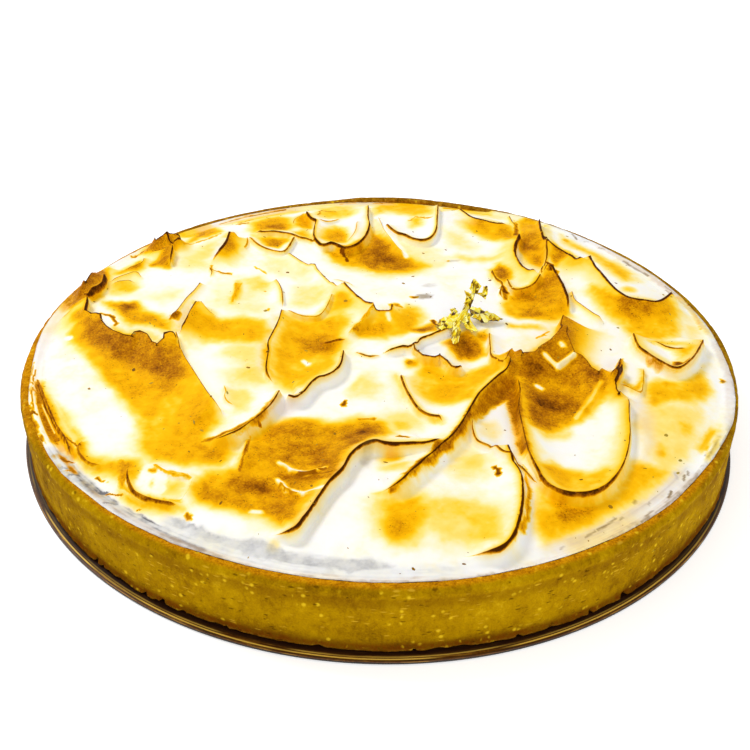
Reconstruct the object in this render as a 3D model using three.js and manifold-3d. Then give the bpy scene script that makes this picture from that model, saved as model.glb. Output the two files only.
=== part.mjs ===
// Lemon tart: a straight-sided sweet pastry case filled to the rim, finished with
// meringue spread in overlapping palette-knife swoops, a twist of gold leaf, on a
// thin laminated cake card that it stands on a little off centre. Millimetres, +Z
// up, origin on the table under the centre of the pastry case.
import * as THREE from 'three';
import Module from 'manifold-3d';
import { mergeVertices } from 'three/addons/utils/BufferGeometryUtils.js';

// ---------------------------------------------------------------- driving sizes
const GAP = 0.3;                 // clearance between touching pieces
const CARD_R = 110.35;            // cake card radius
const CARD_T = 0.8;              // cake card thickness
const CARD_X = -0.10;            // the card's centre, beside the case's
const CARD_Y = -2.60;
const CASE_R = 110.0;            // pastry case, outer radius at the rim
const CASE_FOOT_R = 109.5;       // outer radius at the foot
const CASE_TOP = 21.0;           // height of the rim above the table
const WALL = 3.2;                // width of the flat rim
const FLOOR = 3.0;               // thickness of the pastry floor
const CASE_Z0 = CARD_T + GAP;    // underside of the case
const SEGMENTS = 96;             // facets around the case
const MERINGUE_R = CASE_R - WALL - GAP - 0.1;
const MERINGUE_Z0 = CASE_Z0 + FLOOR + GAP;
const MERINGUE_EDGE = 20.8;      // height of the meringue where it meets the rim
const MERINGUE_RISE = 2.3;       // mean swell from the rim to the middle
const RELIEF_LIMIT = 8.0;        // the tallest a pile of strokes may stand
const CREST_STEP = 3.1;          // spacing of points along a crest
const FILL_STEP = 4.7;           // spacing of points on open surface
const LEAF_T = 0.6;              // thickness of a crumpled fold of gold leaf

// ---------------------------------------------------------------- knife strokes
// Each stroke of the palette knife leaves a facet that rises to a thin crest and
// then falls away. A row holds: name, side of the fall (1 left of travel, -1
// right), crest height, facet length, width of the fall, run-in and run-out
// lengths, 0 smooth or 1 torn crest, and the few turning points of the crest.
const STROKES = [
  ["front_lip", 1, 4.6, 13, 2, 6, 7, 0, [[17.5, -55], [12.5, -59], [-1.5, -56.5], [-5.5, -59], [-21.5, -93], [-27, -92.5]]],
  ["long_ridge", 1, 4.6, 12, 4, 5, 6, 0, [[39, -13], [37, -20], [27.5, -34], [19, -53.5], [4, -75.5], [-0.5, -76]]],
  ["petal_right", -1, 3.6, 10, 2, 9, 5, 0, [[41, -18.5], [41, -58], [45, -73.5], [49.5, -76], [54.5, -75.5], [59, -72.5], [63, -66.5], [68.5, -50], [71.5, -31]]],
  ["crest_right", 1, 6, 14, 3, 6, 3, 1, [[40.5, -6], [42.5, -14], [47, -13], [54.5, -3.5], [59.5, 13]]],
  ["crest_right_b", 1, 3.6, 12, 2.5, 4, 4, 1, [[59, 4.5], [57, -2.5], [58, -11.5], [60.5, -12], [65.5, -21], [69, -16]]],
  ["spike", 1, 3, 2.2, 1.8, 2, 2, 1, [[68, -23.5], [70, -21], [74, -10]]],
  ["spike_foot", 1, 3, 8, 1.5, 3, 3, 1, [[73.5, -14], [69, -24.5], [69.5, -31], [72, -27.5]]],
  ["v_petal", -1, 1.5, 4, 1.4, 3, 3, 1, [[70.5, -22], [76.5, -27.5], [80, -12.5]]],
  ["lip_top_right", 1, 3, 9, 1.5, 5, 3, 0, [[58.5, 88], [57.5, 72], [59, 64.5], [65, 56.5], [67.5, 50], [71, 52]]],
  ["lip_far_right", 1, 4.5, 14, 1.6, 2, 3, 0, [[72, 55], [72.5, 46], [76, 34.5], [81.5, 25], [92, 23.5], [100, 34]]],
  ["lip_right", -1, 4, 12, 2.6, 5, 5, 0, [[80.5, 7], [80.5, -4], [88, -15.5], [90, -15.5], [93, -12], [102.5, 6]]],
  ["petal_front", 1, 4.2, 13, 3, 3, 8, 0, [[34, -56], [36.5, -70], [34, -88.5], [30, -96.5], [26.5, -98], [21, -97.5]]],
  ["petal_small", -1, 2.2, 7, 1.6, 5, 4, 0, [[26, -41], [27.5, -53], [30.5, -56.5], [33, -62], [38, -63.5], [42.5, -70.5]]],
  ["crest_mid", -1, 2.5, 8, 2, 4, 3, 0, [[-0.5, -8.5], [7, -5.5], [10, -6], [12, -1.5], [22.5, 5.5]]],
  ["cup_left", -1, 3, 4.5, 2, 2, 3, 1, [[10, -6], [13, -11.5], [16, -12.5], [18, -10.5], [22, -18], [25.5, -15]]],
  ["cup_right", -1, 2.6, 5, 1.5, 4, 3, 0, [[34.5, 5.5], [35, -17], [36, -17.5], [40.5, -6.5]]],
  ["trough_edge", 1, 4, 16, 2, 3, 8, 0, [[-65.5, 0], [-61.5, -13], [-53, -31], [-43.5, -45]]],
  ["torn_lip", 1, 4.6, 13, 1.5, 5, 2, 1, [[-97, 21.5], [-95.5, 8], [-92, 5], [-89.5, 5.5], [-89, 2], [-83.5, -4.5], [-76.5, -7.5], [-75.5, -4], [-67.5, -12.5], [-66, -9], [-66.5, -6], [-64, -8]]],
  ["knob_left", 1, 4.4, 7, 1.5, 6, 4, 0, [[-103, 23], [-102, 28], [-97.5, 25], [-97, 41], [-94, 48]]],
  ["knob_left_b", 1, 2.5, 4, 1.5, 2, 2, 0, [[-94, 36], [-94, 26], [-97.5, 21]]],
  ["knob_top", 1, 4, 6, 1.5, 3, 3, 0, [[-83, 65.5], [-81, 58.5], [-74, 62.5], [-72.5, 59], [-72, 63.5]]],
  ["knob_top_b", 1, 1.6, 4, 1.4, 3, 3, 0, [[-80.5, 68.5], [-78.5, 70.5], [-75.5, 58.5], [-70, 59]]],
  ["flap_left", 1, 3.5, 6, 1.5, 2, 3, 0, [[-74.5, 55.5], [-73.5, 44]]],
  ["flap_left_b", -1, 2, 4, 1.4, 2, 3, 0, [[-75, 54], [-78, 53], [-83, 54.5]]],
  ["flap_high", -1, 4, 9, 1.5, 2, 9, 0, [[-54.5, 67.5], [-55, 59], [-60, 45]]],
  ["channel_edge", -1, 2, 5, 1.4, 3, 3, 0, [[-60, 33.5], [-66, 12], [-69, 8.5]]],
  ["flap_low", -1, 3.6, 9, 1.4, 2, 4, 0, [[-59.5, 16.5], [-62.5, 1], [-65, 1]]],
  ["petal_mid", -1, 3, 8, 1.4, 2, 6, 0, [[-31.5, 15], [-34.5, -6], [-33, -23], [-31, -26.5]]],
  ["petal_mid_b", 1, 1.8, 5, 1.4, 3, 3, 0, [[-37.5, 37], [-34, 28], [-32.5, 18.5]]],
  ["petal_mid_c", -1, 1.5, 6, 1.4, 3, 3, 0, [[-31.5, 15], [-27.5, 13], [-20.5, 13], [-16.5, 28.5]]],
  ["mid_lip", 1, 4, 10, 3, 4, 4, 0, [[-12, -8], [-12.5, -18], [-14.5, -22], [-19, -25.5], [-25, -35.5], [-27.5, -32.5]]],
  ["mid_lip_b", 1, 4, 11, 3.4, 3, 8, 0, [[-29.5, -31.5], [-34, -45], [-40, -53.5], [-43.5, -55.5], [-48.5, -55]]],
  ["crease_front", -1, 1.8, 6, 2.6, 4, 4, 0, [[-36.5, -52.5], [-35.5, -59.5], [-37, -68]]],
  ["box_top", -1, 1.5, 5, 1.5, 3, 3, 0, [[-61, -65], [-53, -71], [-49, -70.5]]],
  ["box_foot", -1, 1.6, 5, 1.5, 3, 3, 0, [[-66.5, -66.5], [-65.5, -72.5], [-62.5, -77], [-50.5, -82]]],
  ["scoop_left", -1, 1.6, 5, 1.4, 2, 3, 0, [[-81.5, -55], [-80, -61.5], [-77, -65], [-73.5, -65]]],
  ["crescent_b", -1, 1.6, 4, 1.4, 3, 3, 0, [[-26.5, -70.5], [-23.5, -75.5], [-19.5, -79], [-15.5, -77.5]]],
  ["left_bank", -1, 1.7, 5, 1.5, 5, 4, 0, [[-102.5, -23], [-83, -61.5]]],
  ["arc_a", 1, 1.6, 4, 1.4, 2, 2, 0, [[-91.5, 33.5], [-84.5, 38.5], [-82, 36]]],
  ["arc_c", -1, 1.6, 4, 1.4, 2, 2, 0, [[-83, 51], [-83, 45.5], [-86, 43], [-88.5, 43]]],
  ["petal_top_a", -1, 3, 9, 1.8, 3, 5, 0, [[-29, 88.5], [-24.5, 80], [-24, 67], [-22.5, 63], [-21, 61.5], [-18.5, 63.5], [-13, 60], [-10, 62.5], [-6, 72], [-6.5, 97.5]]],
  ["petal_top_b", -1, 2.8, 9, 1.8, 4, 4, 0, [[0.5, 81], [5, 73], [11, 68], [14, 67], [16.5, 68], [19, 77], [20.5, 102.5]]],
  ["stripe_top", 1, 1.6, 3, 1.4, 4, 3, 0, [[-2.5, 88], [2.5, 68.5], [5.5, 61.5], [8.5, 59]]],
  ["petal_top_c", -1, 2, 7, 1.4, 2, 3, 0, [[-48, 67], [-42.5, 59], [-35.5, 56], [-32, 70]]],
  ["crest_top_c", -1, 1.8, 6, 1.4, 4, 3, 0, [[-48, 72.5], [-33, 70.5], [-26.5, 67], [-23.5, 64]]],
  ["long_edge", 1, 1.9, 8, 1.5, 3, 2, 0, [[-35, 56.5], [-26, 46], [-24, 47.5], [-16, 30.5]]],
  ["long_edge_b", 1, 3, 9, 1.5, 2, 3, 0, [[-14, 34], [-2.5, 14], [3.5, 14.5], [4, 21]]],
  ["fold_mid", 1, 2.5, 5, 3, 3, 3, 0, [[-2.5, 20], [-5.5, 10.5], [-11.5, 0.5]]],
  ["fold_mid_b", -1, 1.5, 5, 1.6, 3, 2, 0, [[-19.5, -2], [-17, -2.5], [-11.5, -0.5]]],
  ["petal_low", -1, 2.3, 8, 1.8, 4, 3, 0, [[6, -19], [11.5, -39], [17, -43.5], [18, -46.5]]],
  ["peak_right", 1, 5, 16, 2, 2, 8, 0, [[58, 44.5], [62.5, 17]]],
  ["petal_peak", -1, 2.5, 7, 1.5, 3, 3, 0, [[43, 39.5], [44.5, 33.5], [47, 33], [52, 35.5], [54.5, 40]]],
  ["peak_right_b", 1, 1.6, 5, 1.4, 2, 2, 0, [[54.5, 40], [56, 41], [59, 49]]],
  ["peak_left", -1, 2, 6, 1.4, 3, 3, 0, [[38, 47.5], [39.5, 40], [41.5, 36.5], [40, 30.5], [41, 28]]],
  ["hollow_left", 1, 4, 10, 2.5, 4, 3, 0, [[50, 73], [47, 63], [46.5, 51], [50, 41], [54.5, 41]]],
  ["hollow_right", -1, 3, 6, 2, 5, 2, 0, [[58.5, 88], [59, 56], [54.5, 41]]],
  ["tick_top", 1, 1.5, 4, 1.4, 3, 2, 0, [[47.5, 94.5], [48.5, 85], [50, 82]]],
  ["edge_top", 1, 1.8, 8, 1.5, 5, 4, 0, [[28.5, 101.5], [32.5, 88.5], [42.5, 82], [47.5, 84.5]]],
  ["edge_right", 1, 2, 6, 1.5, 3, 3, 0, [[63.5, 34.5], [64, 26.5], [69, 17], [72.5, 14]]],
];

// Broad swells and hollows: x, y, half length, half width, turn, height.
const SWELLS = [
  [-75, -30, 16, 42, -30, -1.6], [56, -42, 12, 22, 0, -1.6], [3, 52, 24, 12, 0, -1.6],
  [85, 18, 14, 12, 0, -1.0], [50, 28, 9, 14, 0, -1.0], [14, -84, 18, 12, 0, 1.0],
  [-26, -80, 14, 9, 0, -1.0], [-22, -3, 9, 18, 0, -0.8], [-99, 27, 4, 9, -10, 2.6],
  [-79, 62, 5, 5, 0, 2.6], [28, -8, 4.5, 6, 0, -2.6], [24, 8, 8, 6, 0, 1.2],
  [-50, 20, 16, 14, 0, 0.8], [-62, -80, 10, 6, -30, -0.6], [60, 75, 12, 8, 0, 0.6],
  [-20, 74, 9, 9, 0, -0.5],
];

const clamp01 = (t) => Math.min(1, Math.max(0, t));
const smooth = (t) => { t = clamp01(t); return t * t * (3 - 2 * t); };

// Turning points to a chain of evenly spaced points.
function crestLine(points, torn, step) {
  const out = [points[0].slice()];
  for (let i = 0; i + 1 < points.length; i++) {
    const p1 = points[i], p2 = points[i + 1];
    const p0 = points[i - 1] || [2 * p1[0] - p2[0], 2 * p1[1] - p2[1]];
    const p3 = points[i + 2] || [2 * p2[0] - p1[0], 2 * p2[1] - p1[1]];
    const n = Math.max(1, Math.round(Math.hypot(p2[0] - p1[0], p2[1] - p1[1]) / step));
    for (let k = 1; k <= n; k++) {
      const t = k / n;
      out.push([0, 1].map((a) => torn ? p1[a] + (p2[a] - p1[a]) * t
        : 0.5 * (2 * p1[a] + (p2[a] - p0[a]) * t
          + (2 * p0[a] - 5 * p1[a] + 4 * p2[a] - p3[a]) * t * t
          + (3 * p1[a] - p0[a] - 3 * p2[a] + p3[a]) * t * t * t)));
    }
  }
  return out;
}

function makeStroke(row, step) {
  const [name, side, height, facet, fall, runIn, runOut, torn, turns] = row;
  const pts = crestLine(turns, torn, step);
  const seg = [];
  let run = 0;
  for (let i = 0; i + 1 < pts.length; i++) {
    const dx = pts[i + 1][0] - pts[i][0], dy = pts[i + 1][1] - pts[i][1];
    const len = Math.hypot(dx, dy);
    if (len < 1e-6) continue;
    seg.push({ x: pts[i][0], y: pts[i][1], dx, dy, len, s: run, nx: -side * dy / len, ny: side * dx / len });
    run += len;
  }
  const reach = Math.max(facet, fall * 3) + 1;
  const xs = pts.map((p) => p[0]), ys = pts.map((p) => p[1]);
  return { name, side, height, facet, fall, runIn, runOut, pts, seg, run,
    box: [Math.min(...xs) - reach, Math.max(...xs) + reach, Math.min(...ys) - reach, Math.max(...ys) + reach] };
}

// Signed distance to a crest: negative on the facet, positive on the fall.
function measure(st, x, y) {
  let best = 1e18, bi = 0, bt = 0;
  st.seg.forEach((g, i) => {
    const t = clamp01(((x - g.x) * g.dx + (y - g.y) * g.dy) / (g.len * g.len));
    const d = (x - g.x - t * g.dx) ** 2 + (y - g.y - t * g.dy) ** 2;
    if (d < best) { best = d; bi = i; bt = t; }
  });
  const g = st.seg[bi];
  let nx = g.nx, ny = g.ny, past = 0;
  if (bt <= 0 && bi > 0) { nx += st.seg[bi - 1].nx; ny += st.seg[bi - 1].ny; }
  if (bt >= 1 && bi < st.seg.length - 1) { nx += st.seg[bi + 1].nx; ny += st.seg[bi + 1].ny; }
  if (bt <= 0 && bi === 0) past = -((x - g.x) * g.dx + (y - g.y) * g.dy) / g.len;
  if (bt >= 1 && bi === st.seg.length - 1) past = ((x - g.x - g.dx) * g.dx + (y - g.y - g.dy) * g.dy) / g.len;
  const sign = (x - g.x - bt * g.dx) * nx + (y - g.y - bt * g.dy) * ny >= 0 ? 1 : -1;
  const s = g.s + bt * g.len;
  const tipIn = st.runIn <= 2 ? 0.55 : 0, tipOut = st.runOut <= 2 ? 0.55 : 0;
  const fade = (tipIn + (1 - tipIn) * smooth(s / st.runIn))
    * (tipOut + (1 - tipOut) * smooth((st.run - s) / st.runOut))
    * smooth(1 - Math.max(0, past) / 1.8);
  return { d: sign * Math.sqrt(best), fade };
}

function strokeHeight(st, x, y) {
  const b = st.box;
  if (x < b[0] || x > b[1] || y < b[2] || y > b[3]) return 0;
  const { d, fade } = measure(st, x, y);
  if (d < 0) return st.height * fade * clamp01(1 + d / st.facet) ** 2;
  return st.height * fade * ((1 - clamp01(d / st.fall)) ** 1.6
    - 0.10 * Math.exp(-(((d - 1.25 * st.fall) / (0.8 * st.fall)) ** 2)));
}

const strokes = STROKES.map((row) => makeStroke(row, CREST_STEP));

function surface(x, y) {
  const r = Math.hypot(x, y);
  let z = MERINGUE_EDGE + MERINGUE_RISE * smooth((106.5 - r) / 15);
  const inner = smooth((107.5 - r) / 5);
  for (const [cx, cy, rx, ry, turn, h] of SWELLS) {
    const a = turn * Math.PI / 180, c = Math.cos(a), s = Math.sin(a);
    const u = ((x - cx) * c + (y - cy) * s) / rx, v = ((y - cy) * c - (x - cx) * s) / ry;
    z += h * Math.exp(-(u * u + v * v)) * inner;
  }
  let f = 0;
  for (const st of strokes) f += strokeHeight(st, x, y);
  return z + RELIEF_LIMIT * Math.tanh(f / RELIEF_LIMIT) * smooth((107 - r) / 4.5);
}

// ---------------------------------------------------------------- mesh helpers
function solid(verts, tris) {
  const g = new THREE.BufferGeometry();
  g.setAttribute('position', new THREE.Float32BufferAttribute(verts.flat(), 3));
  g.setIndex(tris.flat());
  g.computeVertexNormals();
  return g;
}

// Bowyer-Watson triangulation of points in the plane.
function triangulate(pts) {
  const n = pts.length, P = pts.concat([[-4000, -3000], [4000, -3000], [0, 5000]]);
  const circle = (a, b, c) => {
    const [ax, ay] = P[a], [bx, by] = P[b], [cx, cy] = P[c];
    const d = 2 * (ax * (by - cy) + bx * (cy - ay) + cx * (ay - by));
    const A = ax * ax + ay * ay, B = bx * bx + by * by, C = cx * cx + cy * cy;
    const x = (A * (by - cy) + B * (cy - ay) + C * (ay - by)) / d;
    const y = (A * (cx - bx) + B * (ax - cx) + C * (bx - ax)) / d;
    return { t: [a, b, c], x, y, r: (ax - x) ** 2 + (ay - y) ** 2 };
  };
  let tri = [circle(n, n + 1, n + 2)];
  const order = [...Array(n).keys()].sort((i, j) => P[i][0] - P[j][0]);
  const done = [];
  for (const i of order) {
    const [x, y] = P[i];
    const edges = new Map(), keep = [];
    for (const c of tri) {
      const dx = x - c.x;
      if (dx > 0 && dx * dx > c.r) { done.push(c); continue; }
      if (dx * dx + (y - c.y) ** 2 < c.r) {
        for (let k = 0; k < 3; k++) {
          const a = c.t[k], b = c.t[(k + 1) % 3], rev = b + ',' + a;
          if (edges.has(rev)) edges.delete(rev); else edges.set(a + ',' + b, [a, b]);
        }
      } else keep.push(c);
    }
    for (const [a, b] of edges.values()) keep.push(circle(a, b, i));
    tri = keep;
  }
  return done.concat(tri).map((c) => c.t).filter((t) => t.every((v) => v < n)).map(([a, b, c]) => {
    const area = (P[b][0] - P[a][0]) * (P[c][1] - P[a][1]) - (P[c][0] - P[a][0]) * (P[b][1] - P[a][1]);
    return area > 0 ? [a, b, c] : [a, c, b];
  });
}

// A turned body: rings of [radius, height] from the axis out and back to the axis.
function turned(profile, segments, shape) {
  const verts = [[0, 0, profile[0][1]]], tris = [], n = profile.length;
  for (let i = 1; i < n - 1; i++) {
    for (let k = 0; k < segments; k++) {
      const a = 2 * Math.PI * k / segments;
      const [r, z] = shape(profile[i][0], profile[i][1], a, i);
      verts.push([r * Math.cos(a), r * Math.sin(a), z]);
    }
  }
  const top = verts.length;
  verts.push([0, 0, profile[n - 1][1]]);
  const id = (i, k) => 1 + (i - 1) * segments + (k % segments);
  for (let k = 0; k < segments; k++) {
    tris.push([0, id(1, k + 1), id(1, k)]);
    tris.push([top, id(n - 2, k), id(n - 2, k + 1)]);
    for (let i = 1; i < n - 2; i++) {
      tris.push([id(i, k), id(i, k + 1), id(i + 1, k + 1)], [id(i, k), id(i + 1, k + 1), id(i + 1, k)]);
    }
  }
  return solid(verts, tris);
}

// ---------------------------------------------------------------- cake card
const card = turned([[0, 0], [CARD_R - 0.15, 0], [CARD_R, 0.15], [CARD_R, CARD_T - 0.15],
  [CARD_R - 0.15, CARD_T], [0, CARD_T]], SEGMENTS, (r, z) => [r, z]);

// ---------------------------------------------------------------- pastry case
// Straight wall with softened arrises; the foot is uneven, with small chips.
const CHIPS = [[236, 2.2, 1.3], [243, 1.6, 0.9], [256, 2.0, 1.0], [268, 1.6, 0.7], [285, 2.4, 0.9],
  [301, 1.8, 0.8], [318, 2.2, 1.0], [339, 1.8, 0.7], [12, 2.4, 0.9], [48, 2.0, 0.8], [97, 2.6, 1.0],
  [140, 2.0, 0.8], [178, 2.2, 0.9], [207, 1.8, 0.8]];
function footChip(a) {
  let c = 0;
  for (const [deg, half, deep] of CHIPS) {
    let d = Math.abs(a * 180 / Math.PI - deg);
    d = Math.min(d, 360 - d);
    c = Math.max(c, deep * smooth(1.3 - d / half));
  }
  return c;
}
const wave = (a) => 0.12 * Math.sin(5 * a + 1) + 0.08 * Math.sin(11 * a + 0.4) + 0.05 * Math.sin(23 * a);
const IN_R = CASE_R - WALL;
const caseProfile = [[0, CASE_Z0], [CASE_FOOT_R - 1.6, CASE_Z0], [CASE_FOOT_R - 0.2, CASE_Z0 + 1.0],
  [CASE_FOOT_R + 0.1, 8], [CASE_R - 0.1, 16], [CASE_R, CASE_TOP - 0.6], [CASE_R - 0.5, CASE_TOP],
  [IN_R + 0.3, CASE_TOP], [IN_R, CASE_TOP - 0.4], [IN_R, CASE_Z0 + FLOOR], [0, CASE_Z0 + FLOOR]];
const pastry = turned(caseProfile, SEGMENTS, (r, z, a, i) => {
  if (i === 1) return [r - 0.5 * footChip(a), z];
  if (i === 2) return [r - 0.2 * footChip(a) + wave(a), z + 0.7 * footChip(a)];
  if (i >= 3 && i <= 5) return [r + wave(a + 0.15 * i), z];
  if (i === 6 || i === 7) return [r + wave(a) * 0.5, z - 0.12 + wave(a + 2)];
  return [r, z];
});

// ---------------------------------------------------------------- meringue
function meringueSolid() {
  const pts = [], grid = new Map(), cell = 5;
  const near = (x, y, d) => {
    const gx = Math.floor(x / cell), gy = Math.floor(y / cell);
    for (let i = gx - 1; i <= gx + 1; i++) for (let j = gy - 1; j <= gy + 1; j++) {
      for (const p of grid.get(i + ',' + j) || []) if (Math.hypot(p[0] - x, p[1] - y) < d) return true;
    }
    return false;
  };
  const add = (x, y, d, inside = MERINGUE_R - 1.6) => {
    if (Math.hypot(x, y) > inside || near(x, y, d)) return;
    const key = Math.floor(x / cell) + ',' + Math.floor(y / cell);
    if (!grid.has(key)) grid.set(key, []);
    const p = [x, y];
    grid.get(key).push(p);
    pts.push(p);
  };
  for (let k = 0; k < SEGMENTS; k++) {
    const a = 2 * Math.PI * k / SEGMENTS;
    add(MERINGUE_R * Math.cos(a), MERINGUE_R * Math.sin(a), 0.1, MERINGUE_R + 1);
  }
  const along = (off, d, least) => {
    for (const st of strokes) {
      if (st.height < least) continue;
      st.seg.forEach((g, i) => {
        const q = st.seg[Math.max(0, i - 1)];
        const nx = g.nx + q.nx, ny = g.ny + q.ny, l = Math.hypot(nx, ny) || 1;
        const o = off(st);
        add(g.x + nx / l * o, g.y + ny / l * o, d);
      });
    }
  };
  along(() => -0.02, 1.5, 0);
  along((st) => st.fall, 1.25, 0);
  along(() => -3.0, 2.2, 2.4);
  for (let j = -30; j <= 30; j++) for (let i = -30; i <= 30; i++) {
    add((i + (j & 1) / 2) * FILL_STEP, j * FILL_STEP * 0.866, FILL_STEP * 0.56, MERINGUE_R - 2);
  }
  const tris = triangulate(pts);
  const verts = pts.map(([x, y], i) => [x, y, i < SEGMENTS ? MERINGUE_EDGE : surface(x, y)]);
  const base = verts.length;
  for (let k = 0; k < SEGMENTS; k++) verts.push([pts[k][0], pts[k][1], MERINGUE_Z0]);
  verts.push([0, 0, MERINGUE_Z0]);
  for (let k = 0; k < SEGMENTS; k++) {
    const n = (k + 1) % SEGMENTS;
    tris.push([k, base + k, base + n], [k, base + n, n], [base + SEGMENTS, base + n, base + k]);
  }
  return solid(verts, tris);
}
const meringue = meringueSolid();

// ---------------------------------------------------------------- gold leaf
// A crumpled twist: small folded flakes that overlap at the middle of the cluster.
// Each row holds a flake's name, how far its middle is pushed up or down, and its
// corners.
const FLAKES = [
  ['arm_left', 0.5, [[17, 4.5, 25.9], [18.5, 9.5, 25.5], [20.8, 9.5, 26.4], [25.4, 7.6, 26.1], [24.2, 4.8, 25.8], [19, 2.5, 25.8]]],
  ['fold_left', -0.5, [[20.4, 10.4, 25.8], [22, 12.1, 26.4], [24.4, 11.7, 27], [25, 7.8, 27.2], [22.8, 6.7, 26.4]]],
  ['bump', 0.3, [[22.1, 15, 26], [23.5, 15.5, 26.4], [24.5, 12.3, 27], [22.5, 11.5, 26.6]]],
  ['ribbon', 0.3, [[27.9, 15.1, 29], [28.9, 14.2, 28.8], [24.8, 5.1, 26.9], [22.7, 2.8, 25.5], [23, 5.5, 26.4]]],
  ['tail', 0.5, [[22.8, 6.3, 26.5], [24.9, 5.5, 26.7], [25.2, 2.8, 25.6], [24.2, -1.7, 24.1], [22.6, -2.7, 24], [22, -0.8, 24.3]]],
  ['flap', -0.5, [[26.6, 8.1, 27.1], [28.2, 7.9, 26.9], [30.7, 4, 25], [28.6, 3.4, 24.7], [26.2, 5.4, 26.2]]],
  ['hub', 0.5, [[24.1, 12, 26.9], [26.7, 11.9, 27.3], [28.6, 11.2, 26.9], [28.2, 7.7, 26.7], [25.9, 5.8, 26.6], [24.1, 6.6, 26.9]]],
  ['arm_right', 0.6, [[28.3, 15.5, 26.5], [31.8, 15.7, 26.8], [34.7, 13.7, 26.2], [34.5, 9.9, 25.3], [32.9, 9.2, 25], [30, 10.2, 25.9], [28.3, 9.8, 26.7]]],
  ['tip_right', 0.3, [[34.2, 13.8, 26.1], [36.1, 14, 25.7], [39.3, 12.2, 24.7], [37.6, 11, 24.5], [34.2, 9.8, 25.3]]],
  ['stalk', 0.3, [[26, 13.2, 27.4], [27, 14.9, 29.9], [28.5, 15.6, 32], [29.9, 16, 32.1], [29.3, 13.1, 31], [28, 11.8, 28.3]]],
  ['dark', -0.3, [[26.4, 16, 32.8], [28.5, 15.2, 31.9], [28.7, 13.2, 30.9], [26.1, 12.4, 29.7], [27, 15, 30.8]]],
  ['top_left', 0.3, [[29.3, 19.4, 35.1], [30.2, 18.8, 35.3], [29.8, 15.2, 32.3], [28.8, 15.5, 32.1], [28, 16.7, 33.2]]],
  ['top_right', -0.4, [[29.8, 18.7, 35.3], [31.9, 16.8, 34.1], [30.6, 15, 32.3], [29.3, 15.3, 32.2]]],
  ['side_low', 0.3, [[30.1, 15.1, 32.2], [32.5, 15.5, 32.5], [33.8, 15.2, 32], [33.1, 13.5, 31], [31.5, 15, 31.6]]],
  ['side_top', 0.2, [[31.9, 14.7, 32.4], [32.6, 17.6, 33.7], [33.9, 17.2, 33.7], [33.8, 14.8, 32]]],
];
const wasm = await Module();
wasm.setup();
function flake([, push, corners]) {
  const c = corners.map(([x, y, z]) => new THREE.Vector3(x, y, Math.max(z, surface(x, y) + 0.75)));
  let lift = 0;
  c.forEach((v, i) => {
    for (const [a, b] of [[0.5, 0], [0.5, 0.5], [0.25, 0.25], [0.75, 0.25]]) {
      const w = c[(i + 1) % c.length], m = c[(i + 2) % c.length];
      const q = v.clone().multiplyScalar(1 - a).addScaledVector(w, a * (1 - b)).addScaledVector(m, a * b);
      lift = Math.max(lift, surface(q.x, q.y) + 0.8 - q.z);
    }
  });
  c.forEach((v) => { v.z += lift; });
  const n = c.length, mid = c.reduce((m, v) => m.add(v), new THREE.Vector3()).divideScalar(n);
  const normal = new THREE.Vector3();
  c.forEach((v, i) => normal.add(new THREE.Vector3().crossVectors(
    v.clone().sub(mid), c[(i + 1) % n].clone().sub(mid))));
  normal.normalize();
  if (normal.z < 0) normal.negate();
  mid.addScaledVector(normal, push);
  const verts = [], tris = [];
  for (const h of [-LEAF_T / 2, LEAF_T / 2]) for (const v of [...c, mid]) {
    verts.push([v.x + normal.x * h, v.y + normal.y * h, v.z + normal.z * h]);
  }
  for (let i = 0; i < n; i++) {
    const j = (i + 1) % n, up = n + 1;
    tris.push([n, j, i], [up + n, up + i, up + j], [i, j, up + j], [i, up + j, up + i]);
  }
  return { verts, tris };
}
function toManifold({ verts, tris }) {
  const make = (list) => {
    let g = solid(verts, list);
    g.deleteAttribute('normal');
    g = mergeVertices(g, 1e-5);
    return new wasm.Manifold(new wasm.Mesh({ numProp: 3,
      vertProperties: Float32Array.from(g.attributes.position.array), triVerts: Uint32Array.from(g.index.array) }));
  };
  const m = make(tris);
  return m.volume() > 0 ? m : make(tris.map(([a, b, c]) => [a, c, b]));
}
let leafSolid = null;
FLAKES.forEach((row, i) => {
  const m = toManifold(flake(row, i));
  leafSolid = leafSolid ? leafSolid.add(m) : m;
});
// Where crossing folds enclose a pocket, only the outer skin is kept.
leafSolid = leafSolid.decompose().sort((a, b) => b.volume() - a.volume())[0];
const leafMesh = leafSolid.getMesh();
const leafGeometry = new THREE.BufferGeometry();
leafGeometry.setAttribute('position', new THREE.BufferAttribute(Float32Array.from(leafMesh.vertProperties), 3));
leafGeometry.setIndex(Array.from(leafMesh.triVerts));
leafGeometry.computeVertexNormals();

// ---------------------------------------------------------------- the object
const piece = (name, geometry, color, roughness, metalness) => {
  const mesh = new THREE.Mesh(geometry, new THREE.MeshStandardMaterial({ color, roughness, metalness }));
  mesh.name = name;
  return mesh;
};
const group = new THREE.Group();
group.add(
  piece('cake_card', card, 0xc9973a, 0.3, 0.8),
  piece('tart_shell', pastry, 0xa87414, 0.75, 0),
  piece('meringue', meringue, 0xf6e3b4, 0.55, 0),
  piece('gold_leaf', leafGeometry, 0xe0c52a, 0.25, 1),
);
group.getObjectByName('cake_card').position.set(CARD_X, CARD_Y, 0);
export default group;
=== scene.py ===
import math
import random
import bpy
import numpy as np
from mathutils import Matrix, Vector, noise
from mathutils.geometry import delaunay_2d_cdt


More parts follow.
